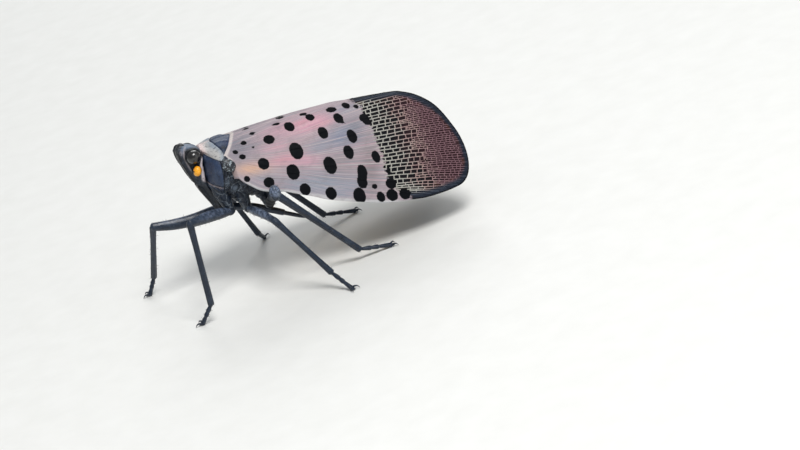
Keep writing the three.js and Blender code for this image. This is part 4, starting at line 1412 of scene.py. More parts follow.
@dataclass(frozen=True)
class Hindwing:
    """A pleated hindwing, mostly hidden: red with black spots, a white band and a black end.

    Attributes:
        depth: how far it lies below the forewing's surface.
        thickness: of the sheet.
        pleat: how far its folds rise.
        rows, columns: points of the sheet.
        fan: its chart.
        spots: its black spots.
    """

    depth: float = 0.95
    thickness: float = 0.12
    pleat: float = 0.16
    rows: int = 60
    columns: int = 120
    fan: Fan = Fan(HINDWING_ROOT, HINDWING_TIP)
    spots: tuple[Spot, ...] = (
        Spot(4.2, 2.2, 0.35, 0.3), Spot(5.6, 3.4, 0.35, 0.32), Spot(4.4, 4.2, 0.3, 0.28),
        Spot(6.8, 2.3, 0.3, 0.3), Spot(7.2, 4.8, 0.34, 0.3), Spot(5.8, 5.2, 0.28, 0.26),
    )

    def build(self, side: Side) -> None:
        """Makes the wing on one side."""
        u, v = np.linspace(0, 1, self.rows), np.linspace(0, 1, self.columns)
        x, t = self.fan.chart(u, v)
        fold = np.interp(v, (0, *HINDWING_VEINS, 1), np.arange(len(HINDWING_VEINS) + 2) * np.pi)
        lift = self.pleat * 0.5 * smooth(u, 0.0, 0.2)[:, None] * (1 - np.cos(fold))[None]
        offset = lift - self.depth - self.pleat
        shell = closed_sheet(WING.place(x, t, offset), WING.place(x, t, offset - self.thickness))
        spot = spot_distance(x, WING.arc(x, t), self.spots)
        shell.values |= {"spot": both_faces(spot), "reach": both_faces(x)}
        name = f"hindwing_{side.word}"
        make_piece(f"{name}_membrane", shell.carried().mirrored(side), hindwing_finish(), [name])


@cache
def hindwing_finish() -> Material:
    """Red base with black spots, then a white band, then black to the end."""
    shader = Shader("hindwing")
    place = shader.here()
    reach = shader.sway(shader.value("reach"), shader.noise(place, 1.3), 0.5)
    colour = shader.mix(shader.noise(place, 3.0), Hue.HINDWING_RED, Hue.HINDWING_DEEP)
    for over, start in ((Hue.BLACK, 9.0), (Hue.HINDWING_WHITE, 10.2), (Hue.BLACK, 12.2)):
        colour = shader.lay(colour, over, reach, start, start + 0.2)
    colour = shader.lay(colour, Hue.BLACK, shader.value("spot"), 0.03, -0.03)
    return shader.finish(colour, 0.55, shader.bump(shader.noise(place, 6.0, 4.0), 0.02))


def egg_rings(rows: np.ndarray, count: int) -> np.ndarray:
    """Rings of the trunk: roof-like above their widest level, round below it.

    Args:
        rows: x, lowest z, highest z, half width and widest level of each ring.
        count: points of a ring.

    Returns:
        An array of rings by points by x, y, z.
    """
    x, low, high, half, widest = rows.T[..., None]
    angle = round_turn(count)
    cosine, sine = np.cos(angle), np.sin(angle)
    power = np.where(sine > 0, 1.25, 0.95)
    y = half * np.sign(cosine) * np.abs(cosine) ** power
    rise = np.where(sine > 0, high - widest, widest - low)
    z = widest + rise * np.sign(sine) * np.abs(sine) ** power
    return np.stack(np.broadcast_arrays(x, y, z), axis=-1)


@dataclass(frozen=True)
class Groove:
    """A line of the side view where one plate of the thorax meets the next.

    Attributes:
        line: its corners (x, z) in the body frame.
        depth: of the groove.
        width: of the groove.
        step: how much further the left side of the line stands out than the right side.
    """

    line: tuple[Chart, ...]
    depth: float = 0.08
    width: float = 0.09
    step: float = 0.0

    def relief(self, x: np.ndarray, z: np.ndarray) -> np.ndarray:
        """How far the surface moves out at each place."""
        distance, signed = line_distance(x, z, self.line)
        ledge = -self.step * np.tanh(signed / 0.06) * bell(distance / 0.5)
        return ledge - self.depth * bell(distance / self.width)


@dataclass(frozen=True)
class Thorax:
    """The three rings of the thorax under one skin, with its plates, seams and pale shield.

    Attributes:
        sections: x, lowest z, highest z, half width and widest level of the plain form.
        stations, points: rings, and points of a ring.
        shield_rear: rear edge (y, x) of the pale shield, seen from above.
        lobe_rear: rear edge (z, x) of the side lobe below the shield.
        shield_low: lower edge (x, z) of the shield in the side view.
        clear_of_wing: how far the skin stays below the folded wings.
        front_lean, front_notch: how far the front edge is drawn back low down, and beside the cheeks.
        grooves: all seams of the side view.
    """
    sections: tuple[tuple[float, ...], ...] = (
        (-2.0, -1.6, 0.84, 1.7, -0.1),
        (-1.6, -2.0, 1.04, 2.25, -0.1),
        (-1.1, -2.45, 1.28, 2.75, 0.0),
        (-0.7, -2.85, 1.48, 2.92, 0.0),
        (-0.2, -3.15, 1.68, 2.95, -0.1),
        (0.3, -3.35, 1.78, 2.9, -0.2),
        (0.62, -3.45, 1.78, 2.8, -0.5),
        (0.95, -3.5, 1.2, 2.7, -0.8),
        (1.6, -3.4, 0.8, 2.6, -1.2),
        (2.4, -3.2, 0.75, 2.5, -1.3),
        (3.2, -2.95, 0.95, 2.4, -1.2),
        (3.9, -2.8, 1.0, 2.25, -1.2),
    )
    stations: int = 190
    points: int = 220
    shield_rear: tuple[Chart, ...] = (
        (0.0, -1.12), (0.3, -1.04), (1.15, -0.84), (1.9, -0.56),
        (2.3, -0.44), (2.6, -0.5), (2.8, -0.68), (3.0, -0.86),
    )
    lobe_rear: tuple[Chart, ...] = ((-3.4, -0.05), (-1.92, -0.28), (-0.8, -0.52), (0.34, -0.86))
    shield_low: tuple[Chart, ...] = ((-2.3, 0.7), (-2.0, 0.58), (-1.6, 0.44), (-0.85, 0.34), (-0.5, 0.3))
    clear_of_wing: float = 0.16
    front_lean: float = 0.5
    front_notch: float = 0.22
    grooves: tuple[Groove, ...] = (
        Groove(shield_low[1:4], 0.05, 0.05, 0.05),
        Groove(((-1.75, -1.72), (-1.1, -1.84), (-0.3, -1.95)), 0.09, 0.07, -0.04),
        Groove(((-0.4, 0.1), (0.0, -1.0), (0.2, -1.6), (0.1, -2.4), (0.35, -3.4)), 0.08, 0.06, -0.03),
        Groove(((0.3, -0.6), (0.75, -1.2), (0.95, -1.7), (0.8, -2.3), (1.1, -3.4)), 0.08, 0.06, 0.03),
        Groove(((-0.9, -2.0), (-0.1, -2.5), (0.7, -2.8)), 0.07, 0.06),
        Groove(((0.9, -0.7), (1.6, -1.6), (1.9, -3.3)), 0.07, 0.07),
        Groove(((1.75, 1.2), (1.95, -0.9), (2.35, -3.3)), 0.12, 0.1, 0.04),
        Groove(((-0.2, -0.35), (1.0, -0.75), (2.6, -1.2)), 0.07, 0.1),
    )

    def _before_rear(self, points: np.ndarray) -> np.ndarray:
        """How far points lie in front of the rear edge of the first ring's shield and side lobes."""
        x, y, z = np.moveaxis(points, -1, 0)
        above = smooth(z, 0.28, 0.4)
        shield = np.interp(np.abs(y), *zip(*self.shield_rear))
        lobe = np.interp(z, *zip(*self.lobe_rear))
        return shield * above + lobe * (1 - above) - x

    def _relief(self, rings: np.ndarray) -> np.ndarray:
        """How far the plain rings move out and in where the plates, seams and keels are."""
        x, y, z = np.moveaxis(rings, -1, 0)
        out = np.abs(y)
        before = self._before_rear(rings)
        on_shield = smooth(before, -0.03, 0.03)
        roof = smooth(z, 0.5, 1.0)
        seams = sum(groove.relief(x, z) for groove in self.grooves)
        rear_rim = 0.06 * on_shield * bell(before / 0.5) - 0.1 * bell(before / 0.05)
        keel = 0.05 * bell(y / 0.07) * roof
        side_keels = 0.06 * bell((out - 0.85 - 0.2 * (x + 0.4)) / 0.08) * roof * (1 - on_shield)
        dimple = -0.1 * bell((x + 1.4) / 0.2, (out - 0.75) / 0.28) * roof * on_shield
        hump = 0.04 * bell((x + 1.2) / 0.4, (z + 0.55) / 0.5)
        lower_hump = 0.05 * bell((x - 0.65) / 0.28, (z + 2.2) / 0.7)
        return seams + rear_rim + keel + side_keels + dimple + hump + lower_hump

    def _paint(self, points: np.ndarray) -> np.ndarray:
        """The tint at each point."""
        x, y, z = np.moveaxis(points, -1, 0)
        out = np.abs(y)
        before = self._before_rear(points)
        on_shield = smooth(before, -0.02, 0.02)
        above = smooth(line_distance(x, z, self.shield_low)[1], 0.02, -0.04)
        notum = smooth(z, 0.1, 0.45) * (1 - on_shield) * smooth(x, 1.1, 0.7)
        plate = on_shield * above
        over_rim = z - np.interp(x, [-1.75, -1.1, -0.3], [-1.72, -1.84, -1.95])
        under = bell((over_rim + 0.12) / 0.045) * smooth(x, -1.75, -1.5) * smooth(x, -0.2, -0.5)
        seam = sum(bell(line_distance(x, z, groove.line)[0] / 0.06) for groove in self.grooves)
        seam = seam + bell(before / 0.045)
        return layered(
            Hue.CUTICLE,
            (Hue.MESONOTUM, notum),
            (Hue.NOTUM_SIDE, notum * 0.8 * bell((out - 1.1) / 0.5, (x - 0.1) / 0.4)),
            (Hue.CUTICLE_BLOOM, notum * 0.2 * bell((out - 0.7) / 0.3, (x + 0.6) / 0.4)),
            # Painted shadow: a dark patch at the rear corner of the mesonotum, beside the wing's hem.
            (Hue.CUTICLE_DEEP, notum * 0.9 * bell((x + 0.3) / 0.24, (out - 1.68) / 0.26)),
            (Hue.CUTICLE, notum * 0.9 * smooth(out, 1.9, 2.1)),
            (Hue.PLATE, plate),
            (Hue.PLATE_PINK, plate * 0.85 * smooth(x, -1.45, -1.9)),
            (Hue.PLATE_BLUE, plate * 0.8 * smooth(before, 0.5, 0.1)),
            (Hue.CUTICLE_BLOOM, plate * 0.6 * bell((x + 1.05) / 0.3, (out - 1.0) / 0.45)),
            (Hue.PLATE_PINK, plate * 0.6 * bell(y / 0.12)),
            (Hue.LOBE, on_shield * (1 - above) * 0.8),
            (Hue.CUTICLE_BLOOM, 0.5 * bell((x + 0.15) / 0.3, (z + 1.5) / 0.3)),
            (Hue.CUTICLE_BLOOM, 0.6 * bell((x - 0.62) / 0.3, (z + 2.0) / 0.3)),
            (Hue.CUTICLE_BLOOM, 0.45 * bell((x - 1.3) / 0.25, (z + 1.5) / 0.25)),
            (Hue.BLACK, np.clip(seam, 0, 1) * 0.75 * (1 - plate)),
            (Hue.PLATE_PINK, under * 0.6),
            (Hue.CUTICLE_DEEP, smooth(z, -2.4, -3.3) * 0.6),
        )

    def _crumple(self, points: np.ndarray) -> np.ndarray:
        """Where the skin is crumpled: below the side lobes and behind them."""
        z = points[:, 2]
        on_shield = smooth(self._before_rear(points), -0.02, 0.02)
        return on_shield * smooth(z, -1.8, -2.05) + (1 - on_shield) * smooth(z, 0.0, -0.5)

    def _under_wings(self, rings: np.ndarray) -> None:
        """Keeps the skin below the folded wings behind their root edge."""
        x, y, z = np.moveaxis(rings, -1, 0)
        t = (np.abs(y) - WING.midline_half_gap) / WING.spread(x)
        inside = np.clip(t, 0, 1)
        root_x = at_level(FOREWING_ROOT, inside)
        ceiling = WING.height(x, inside) - self.clear_of_wing
        below = smooth(x, root_x - 0.25, root_x + 0.1)
        rings[..., 2] = np.where((z > ceiling) & (t < 1.0), z + (ceiling - z) * below, z)

    def build(self) -> None:
        """Makes the thorax's skin."""
        read = spline(self.sections, np.linspace(0, 1, self.stations))
        rings = egg_rings(read, self.points)
        centre = np.stack([read[:, 0], np.zeros(self.stations), read[:, 4]], axis=-1)[:, None]
        rings = rings + unit(rings - centre) * self._relief(rings)[..., None]
        self._under_wings(rings)
        x, z = rings[..., 0], rings[..., 2]
        lean = self.front_lean * smooth(z, 0.4, -1.1)
        lean = lean + self.front_notch * smooth(z, -0.7, 0.0) * smooth(z, 0.75, 0.5)
        rings[..., 0] = x + lean * smooth(x, -1.1, -2.0)
        shell = skin_over(rings)
        shell.tints["tint"] = self._paint(shell.points)
        shell.values["folds"] = self._crumple(shell.points)
        nodes = ["prothorax", "mesothorax", "metathorax"]
        make_piece("thorax_skin", shell.carried(), BODY_CUTICLE.build(), nodes)


@dataclass(frozen=True)
class Head:
    """The head: a narrow keeled face with a dark upturned front, cheeks, eyes and feelers.

    Attributes:
        levels: z, x of the face, x of the rear and half width at each level.
        outline: half of a level's outline: share of the way to the rear, and of the half width.
        stations, half_points: levels, and points of half an outline.
        eye, eye_radius, eye_rim: an eye's centre, its radius, and the radius and thickness of its rim.
        pedicel, pedicel_radii, pedicel_rim: the same for the feeler's orange second joint.
        knob, knob_radius: the right end of the upturned roll across the head's front, and its radius.
        lean: how much lower the head is for each millimetre to its right.
    """

    levels: tuple[tuple[float, ...], ...] = (
        (1.12, -3.5, -3.15, 0.3),
        (1.05, -3.68, -2.6, 0.75),
        (0.9, -3.8, -2.12, 1.1),
        (0.6, -3.86, -2.02, 1.3),
        (0.2, -3.79, -1.87, 1.38),
        (-0.4, -3.5, -1.84, 1.42),
        (-1.0, -3.08, -1.66, 1.38),
        (-1.6, -2.63, -1.52, 1.24),
        (-2.1, -2.22, -1.28, 1.05),
        (-2.3, -2.04, -1.12, 0.9),
        (-2.9, -1.56, -0.65, 0.78),
        (-3.6, -0.93, -0.2, 0.62),
        (-4.3, -0.3, 0.14, 0.44),
    )
    outline: tuple[Chart, ...] = (
        (0.02, 0.0), (0.0, 0.3), (0.01, 0.56), (-0.03, 0.66), (0.1, 0.7), (0.3, 0.75), (0.52, 0.79),
        (0.78, 0.95), (0.94, 0.94), (1.0, 0.7), (1.0, 0.0),
    )
    stations: int = 120
    half_points: int = 60
    eye: Point = (-2.7, 1.42, 0.33)
    eye_radius: float = 0.59
    eye_rim: Chart = (0.6, 0.11)
    pedicel: Point = (-2.4, 1.72, -0.78)
    pedicel_radii: Point = (0.33, 0.38, 0.43)
    pedicel_rim: Chart = (0.32, 0.1)
    knob: Point = (-3.46, 0.34, 0.86)
    knob_radius: float = 0.34
    lean: float = 0.09

    def _piece(self, name: str, shell: Shell, finish: Material, nodes: Sequence[str]) -> None:
        """Makes a piece of the head, which leans to its right, as the photo hides the far eye."""
        shell.points[:, 2] -= self.lean * (shell.points[:, 1] + self.eye[1])
        make_piece(name, shell, finish, nodes)

    def _skin(self) -> Shell:
        """The face, cheeks and top under one skin."""
        z, face, rear, half = spline(self.levels, np.linspace(0, 1, self.stations)).T
        depth, width = spline(self.outline, np.linspace(0, 1, self.half_points)).T
        x = face[:, None] + (rear - face)[:, None] * depth
        near = np.stack(np.broadcast_arrays(x, -half[:, None] * width, z[:, None]), axis=-1)
        rings = np.concatenate([near, (near * FLIP)[:, -2:0:-1]], axis=1)
        centre = np.stack([(face + rear) / 2, np.zeros_like(z), z], axis=-1)[:, None]
        outward = unit(rings - centre)
        x, y, z = np.moveaxis(rings, -1, 0)
        out = np.abs(y)
        on_front = smooth(x - face[:, None], 0.5, 0.15)
        keel = 0.07 * bell(y / 0.08) * smooth(z, -2.2, -1.8) * on_front
        groove = -0.1 * bell((z + 2.22) / 0.1) * on_front
        ridge = 0.05 * bell((z - 0.2 + 0.5 * (x + 3.4)) / 0.09) * smooth(out, 0.6, 0.9)
        cheek = -0.08 * bell((x + 3.2) / 0.35, (z + 0.5) / 0.6) * smooth(out, 0.5, 0.9)
        shell = skin_over(rings + outward * (keel + groove + ridge + cheek)[..., None])
        shell.tints["tint"] = self._paint(shell.points)
        return shell.carried()

    def _paint(self, points: np.ndarray) -> np.ndarray:
        """The tint at each point."""
        x, y, z = np.moveaxis(points, -1, 0)
        out = np.abs(y)
        heights, fronts, rears, _ = np.array(self.levels)[::-1].T
        from_face, from_rear = x - np.interp(z, heights, fronts), np.interp(z, heights, rears) - x
        from_eye = np.hypot(x - self.eye[0], z - self.eye[2])
        broad = 0.22 + 0.13 * smooth(z, 0.2, -0.9)
        stripe = smooth(from_rear / broad, 1.15, 0.75) * smooth(out, 0.6, 0.85)
        edge_line = bell((from_face - 0.42) / 0.07) * smooth(out, 0.5, 0.8) * smooth(z, -1.8, -0.6)
        return layered(
            Hue.CUTICLE,
            (Hue.FACE, smooth(z, 0.2, 0.9) * 0.9),
            (Hue.CUTICLE_BLOOM, 0.55 * bell((x + 3.1) / 0.5, (z - 1.05) / 0.25)),
            (Hue.BLACK, smooth(from_face, 0.26, 0.04) * 0.85),
            (Hue.BLACK, smooth(out, 0.7, 0.95) * smooth(from_eye, 0.85, 0.68)),
            (Hue.GENA, edge_line * 0.55),
            (Hue.GENA, stripe * smooth(z, -1.9, -1.6) * smooth(z, 0.9, 0.6)),
            (Hue.GENA, 0.45 * bell((from_face - 0.2) / 0.1, (z - 0.55) / 0.18)),
            (Hue.CUTICLE_DEEP, smooth(z, -2.0, -2.6) * 0.6),
        )

    def _rim(self, centre: Point, sizes: Chart, side: Side) -> Shell:
        """A raised rim about a centre, its hole facing out to the side.

        Args:
            centre: its middle in the body frame, for the right side.
            sizes: its radius and its thickness.
            side: the side that it is for.

        Returns:
            The closed ring.
        """
        radius, thick = sizes
        turn, angle = round_turn(48), round_turn(10)
        out = np.stack([np.cos(turn), np.zeros(48), np.sin(turn)], axis=-1)[:, None]
        swell = np.cos(angle)[:, None] * out + np.sin(angle)[:, None] * np.array([0, 1, 0])
        points = (radius * out + thick * swell).reshape(-1, 3) + np.array(centre) * FLIP
        last = 47 * 10
        faces = grid_faces(48, 10, ring=True)
        faces += [(last + k, last + (k + 1) % 10, (k + 1) % 10, k) for k in range(10)]
        return Shell(points, faces).painted(Hue.CUTICLE_DEEP).carried().mirrored(side)

    def _front_knob(self) -> Shell:
        """The dark upturned roll across the front of the head, with a grey boss at each end."""
        kx, ky, kz = self.knob
        path = [(kx, -ky, kz), (kx - 0.03, -ky * 0.5, kz + 0.01), (kx - 0.04, 0.0, kz + 0.01)]
        path += [(x, -y, z) for x, y, z in reversed(path[:2])]
        widths = [self.knob_radius * share for share in (0.9, 1.0, 1.0, 1.0, 0.9)]
        ends = {"start_round": 0.45, "end_round": 0.45}
        roll = Limb(path, widths, across=(1.0, 0.0, 0.0), sides=32, stations=60, **ends).shell()
        x, y, z = roll.points.T
        boss = np.hypot(x - kx, z - kz) / self.knob_radius
        grey = smooth(np.abs(y), ky - 0.02, ky + 0.06) * smooth(boss, 0.78, 0.5)
        roll.tints["tint"] = layered(Hue.BLACK, (Hue.FACE, grey))
        return roll.carried()

    def build(self) -> None:
        """Makes the head's skin, both eyes and both feelers."""
        ex, ey, ez = self.eye
        px, py, pz = self.pedicel
        parts = [self._skin(), self._front_knob()]
        for side in Side:
            parts.append(self._rim((ex, ey - 0.16, ez), self.eye_rim, side))
            parts.append(self._rim((px + 0.02, py - 0.3, pz - 0.04), self.pedicel_rim, side))
            base = ball((px, 0.32 - py, pz), (0.34, 0.32, 0.4), 24, 14)
            parts.append(base.painted(Hue.BLACK).carried().mirrored(side))
        self._piece("head_skin", joined(parts), BODY_CUTICLE.build(), ["head"])
        for side in Side:
            eye = ball((ex, -ey, ez), (self.eye_radius,) * 3, 48, 32).carried().mirrored(side)
            self._piece(f"eye_{side.word}_dome", eye, eye_finish(), [f"eye_{side.word}"])
            self._build_feeler(side)

    def _build_feeler(self, side: Side) -> None:
        """The orange second joint of the feeler, and the hair that ends it."""
        start = np.array(self.pedicel) * FLIP
        name = f"antenna_{side.word}"
        bead = ball(start, self.pedicel_radii, 40, 28).carried().mirrored(side)
        self._piece(f"{name}_pedicel", bead, pedicel_finish(), [name])
        away = unit(np.array([-0.85, -0.4, -0.1]))
        reaches = (0.3, 0.4, 0.48, 0.7, 0.95)
        path = [start + away * reach + np.array([0, 0, 0.12 * reach**2]) for reach in reaches]
        hair = Limb(STANCE.carried(np.array(path)), (0.05, 0.06, 0.03, 0.018, 0.006), sides=10, stations=30)
        self._piece(f"{name}_bristle", hair.shell().mirrored(side), hair_finish(), [])


@dataclass(frozen=True)
class Abdomen:
    """The abdomen: overlapping yellow rings, each with a dark band, tapering to the end.

    Attributes:
        sections: x, lowest z, highest z, half width and widest level where each ring starts.
        stations, points: sections of the skin, and points of each.
        step_in: how much each ring narrows over its length.
    """

    sections: tuple[tuple[float, ...], ...] = (
        (3.7, -2.7, 0.85, 2.15, -1.3),
        (5.2, -2.75, 1.05, 2.25, -1.25),
        (6.6, -2.7, 1.25, 2.3, -1.1),
        (8.0, -2.5, 1.4, 2.25, -0.9),
        (9.4, -2.2, 1.45, 2.1, -0.6),
        (10.7, -1.75, 1.4, 1.85, -0.15),
        (11.9, -1.25, 1.25, 1.45, 0.1),
        (12.9, -0.75, 1.0, 1.0, 0.2),
        (13.8, -0.25, 0.7, 0.5, 0.25),
    )
    stations: int = 200
    points: int = 96
    step_in: float = 0.12

    def build(self) -> None:
        """Makes the abdomen."""
        places = np.linspace(0, 1, self.stations)
        x, low, high, half, widest = spline(self.sections, places).T
        share = (places * (len(self.sections) - 1)) % 1.0
        narrowed = 1 - smooth(share, 0.0, 0.75) + smooth(share, 0.93, 1.0)
        swell = np.minimum(self.step_in, half * 0.12) * narrowed
        rows = np.stack([x, low + swell, high - swell, half - swell, widest], axis=-1)
        shell = skin_over(egg_rings(rows, self.points))
        above = smooth(shell.points[:, 2], -1.6, -1.1)
        band, belly = (
            np.append(np.repeat(smooth(share, end, start), self.points), [0, 0])
            for start, end in ((0.34, 0.42), (0.22, 0.3))
        )
        dark = np.clip(band * above + belly * (1 - above), 0, 1)
        shell.tints["tint"] = layered(Hue.ABDOMEN, (Hue.BLACK, dark))
        make_piece("abdomen_skin", shell.carried(), ABDOMEN_CUTICLE.build(), ["abdomen"])


class Pair(Enum):
    """The three pairs of legs."""

    FORE = "fore"
    MID = "mid"
    HIND = "hind"


@dataclass(frozen=True)
class Stand:
    """Where one leg's knee, ankle and toe are, in the floor frame."""

    knee: Point
    ankle: Point
    toe: Point


@dataclass(frozen=True)
class Leg:
    """One pair's leg: coxa, trochanter, femur, tibia and tarsus.

    Attributes:
        coxa_root, hip: ends of the coxa in the body frame, on the left.
        coxa: half widths of the coxa.
        femur, tibia: half sizes along each, as rows of width and depth.
        stands: both sides' stances.
        bow, far_bow: how far the femur bows upward, on the left and on the right.
        far_drop: how much lower the right femur starts.
        wax: how much blue-white wax lies on the femur, from 0 to 1.
        knob: half sizes of a waxy swelling over the knee, if there is one.
        spines: how many spines the tibia carries on its outer side.
        tarsus: half sizes along each joint of the tarsus.
        joints: shares of the tarsus where its joints meet.
        claw: places along a claw: reach forward, and height over its root.
        toe_height: how far the claws' root is over the floor.
    """

    coxa_root: Point
    hip: Point
    coxa: tuple[float, ...]
    femur: tuple[Chart, ...]
    tibia: tuple[Chart, ...]
    stands: dict[Side, Stand]
    bow: float = 0.1
    far_bow: float = 0.1
    far_drop: float = 0.0
    wax: float = 0.4
    knob: Point | None = None
    spines: int = 0
    tarsus: tuple[Chart, ...] = ((0.11, 0.12), (0.15, 0.15), (0.2, 0.18), (0.22, 0.19))
    joints: tuple[float, ...] = (0.0, 0.3, 0.55, 1.0)
    claw: tuple[Chart, ...] = ((0.0, 0.0), (0.22, 0.08), (0.42, 0.05), (0.56, -0.12))
    toe_height: float = 0.2

    @staticmethod
    def _segment(start: np.ndarray, end: np.ndarray, sizes: Sequence[Chart], keel: float, bow=0.0) -> Shell:
        """A leg segment, slightly bowed upward, with sizes given along it."""
        shares = np.linspace(0, 1, len(sizes))
        path = start + (end - start) * shares[:, None]
        path[:, 2] += bow * np.sin(np.pi * shares)
        return Limb(path, *zip(*sizes), keel=keel, stations=64, sides=24).shell()

    def _tarsus(self, ankle: np.ndarray, toe: np.ndarray) -> list[Shell]:
        """Three joints, each widening to its far end, two claws and a pad between them."""
        flat = unit((toe - ankle) * np.array([1.0, 1.0, 0.0]))
        sideways = np.array([-flat[1], flat[0], 0.0])
        end = toe + np.array([0, 0, self.toe_height])
        shells = []
        for first, last in zip(self.joints[:-1], self.joints[1:]):
            start, stop = (ankle + (end - ankle) * share for share in (first, last + 0.02))
            shells.append(self._segment(start, stop, self.tarsus, 0.03))
        for sign in (-1, 1):
            root = end + sideways * sign * 0.1
            spread = flat + sideways * sign * 0.55
            path = [root + spread * reach + np.array([0, 0, rise]) for reach, rise in self.claw]
            shells.append(Limb(path, (0.09, 0.075, 0.05, 0.012), sides=10, stations=16).shell())
        pad = end + flat * 0.22 - np.array([0, 0, 0.06])
        shells.append(ball(pad, (0.16, 0.16, 0.09), 16, 10))
        return shells

    def _spines(self, knee: np.ndarray, ankle: np.ndarray, side: Side) -> list[Shell]:
        """Stout spines down the outer side of the tibia, and a crown of teeth at its end."""
        along = unit(ankle - knee)
        outward = unit(np.array([0.0, float(side.value), 0.35]))
        square = unit(np.cross(along, outward))
        shells = []
        for k in range(self.spines):
            root = knee + (ankle - knee) * (0.36 + 0.135 * k) + outward * 0.14
            tip = root + unit(outward + along * 0.9) * 0.5
            path = [root - outward * 0.1, root, (root + tip) / 2 + outward * 0.02, tip]
            shells.append(Limb(path, (0.13, 0.11, 0.06, 0.012), sides=10, stations=14).shell())
        for turn in round_turn(7):
            out = outward * math.cos(turn) + square * math.sin(turn)
            root = ankle - along * 0.05 + out * 0.14
            path = [root - along * 0.08, root, root + unit(along + out * 0.55) * 0.24]
            shells.append(Limb(path, (0.06, 0.05, 0.01), sides=8, stations=8).shell())
        return shells

    def _weather(self, hip_ball: Shell, femur: Shell, start: np.ndarray, knee: np.ndarray) -> list[Shell]:
        """Lays wax on the femur's upper side, and paints shade, darker and duller, on the hip and most of
        the femur below a swelling over the knee.

        Args:
            hip_ball, femur: the leg's parts above the knee.
            start, knee: ends of the femur.

        Returns:
            The swelling, if the leg has one.
        """
        along = femur.values["along"]
        top = smooth(femur.points[:, 2] - np.interp(along, [0, 1], [start[2], knee[2]]), -0.25, 0.2)
        femur.values["wax"] = self.wax * top * smooth(along, 1.1, 0.6)
        if not self.knob:
            return []
        # Painted shade on the hip and on all but the knee end of the femur, as if they lie in shadow under
        # the swelling.
        hip_ball.filled("worn", 0.9)
        femur.values["worn"] = 0.9 * smooth(along, 0.95, 0.7)
        knob = ball(knee + np.array([0.0, 0.0, 0.1]), self.knob, 32, 22).filled("folds", 0.8)
        knob.values["wax"] = smooth(knob.points[:, 2] - knee[2], -0.4, 0.35)
        return [knob]

    def build(self, pair: Pair, side: Side) -> None:
        """Makes one leg as one piece, with hairs."""
        stand = self.stands[side]
        flip = np.array([1.0, -side.value, 1.0])
        root, hip = (STANCE.carried(np.array(point) * flip) for point in (self.coxa_root, self.hip))
        knee, ankle, toe = (np.array(point, float) for point in (stand.knee, stand.ankle, stand.toe))
        far = side is Side.RIGHT
        start = hip + unit(knee - hip) * 0.25 - np.array([0.0, 0.0, self.far_drop * far])
        coxa_path = root + (hip - root) * np.linspace(0, 1, len(self.coxa))[:, None]
        hip_ball = ball(hip + unit(knee - hip) * 0.1, (0.36, 0.36, 0.34), 24, 16)
        femur = self._segment(start, knee, self.femur, 0.05, self.far_bow if far else self.bow)
        knob = self._weather(hip_ball, femur, start, knee)
        shells = [
            Limb(coxa_path, self.coxa, stations=40, sides=28, keel=0.02).shell().filled("folds", 1.0),
            hip_ball,
            femur,
            self._segment(knee + unit(ankle - knee) * 0.05, ankle, self.tibia, 0.11),
            ball(ankle, (0.19, 0.19, 0.19), 16, 10),
            *self._tarsus(ankle + unit(toe - ankle) * 0.12, toe),
            *(self._spines(knee, ankle, side) if self.spines else ()),
            *knob,
        ]
        whole = joined(shells)
        whole.points[:, 2] = np.maximum(whole.points[:, 2], 0.0)
        name = f"{pair.value}_{side.word}"
        nodes = [f"{name}_{part}" for part in ("coxa", "femur", "tibia", "tarsus")]
        piece = make_piece(f"{name}_leg", whole, LEG_CUTICLE.build(), nodes)
        Bristles(seed=SEED + 2 * list(Pair).index(pair) + far).grow(piece)


LEGS = {
    Pair.FORE: Leg(
        coxa_root=(-0.72, -1.3, -1.75),
        hip=(0.7, -1.3, -4.26),
        coxa=(0.5, 0.66, 0.62, 0.48, 0.38),
        femur=((0.28, 0.32), (0.36, 0.44), (0.38, 0.48), (0.38, 0.48), (0.33, 0.42), (0.3, 0.34)),
        tibia=((0.26, 0.27), (0.21, 0.23), (0.21, 0.23), (0.22, 0.24), (0.24, 0.25)),
        far_bow=-0.4,
        far_drop=0.3,
        wax=0.6,
        stands={
            Side.LEFT: Stand((1.61, -5.3, 8.73), (1.03, -5.3, 1.7), (0.0, -4.7, 0.0)),
            Side.RIGHT: Stand((-0.4, 1.8, 7.02), (-1.35, 5.2, 1.6), (-2.1, 5.5, 0.0)),
        },
    ),
    Pair.MID: Leg(
        coxa_root=(1.15, -1.75, -2.3),
        hip=(2.05, -1.5, -3.97),
        coxa=(0.5, 0.54, 0.5, 0.42, 0.36),
        femur=((0.26, 0.3), (0.33, 0.38), (0.34, 0.4), (0.32, 0.36), (0.28, 0.32), (0.28, 0.3)),
        tibia=((0.25, 0.26), (0.19, 0.205), (0.185, 0.2), (0.195, 0.21), (0.23, 0.24)),
        wax=1.0,
        stands={
            Side.LEFT: Stand((7.97, -6.3, 6.6), (10.58, -8.3, 1.52), (11.46, -9.76, 0.0)),
            Side.RIGHT: Stand((6.7, 5.6, 6.2), (8.3, 6.1, 1.3), (8.9, 7.6, 0.0)),
        },
    ),
    Pair.HIND: Leg(
        coxa_root=(2.95, -1.15, -2.0),
        hip=(3.89, -1.5, -3.66),
        coxa=(0.56, 0.6, 0.54, 0.46, 0.4),
        femur=((0.28, 0.34), (0.34, 0.44), (0.36, 0.48), (0.38, 0.5), (0.4, 0.5), (0.38, 0.44)),
        tibia=((0.29, 0.3), (0.25, 0.26), (0.225, 0.24), (0.215, 0.23), (0.24, 0.25)),
        stands={
            Side.LEFT: Stand((8.8, -5.75, 8.5), (14.0, -4.9, 1.0), (16.6, -4.7, 0.0)),
            Side.RIGHT: Stand((8.8, 5.75, 8.5), (14.0, 5.1, 1.0), (16.6, 5.3, 0.0)),
        },
        wax=0.1,
        knob=(0.46, 0.45, 0.68),
        spines=5,
    ),
}


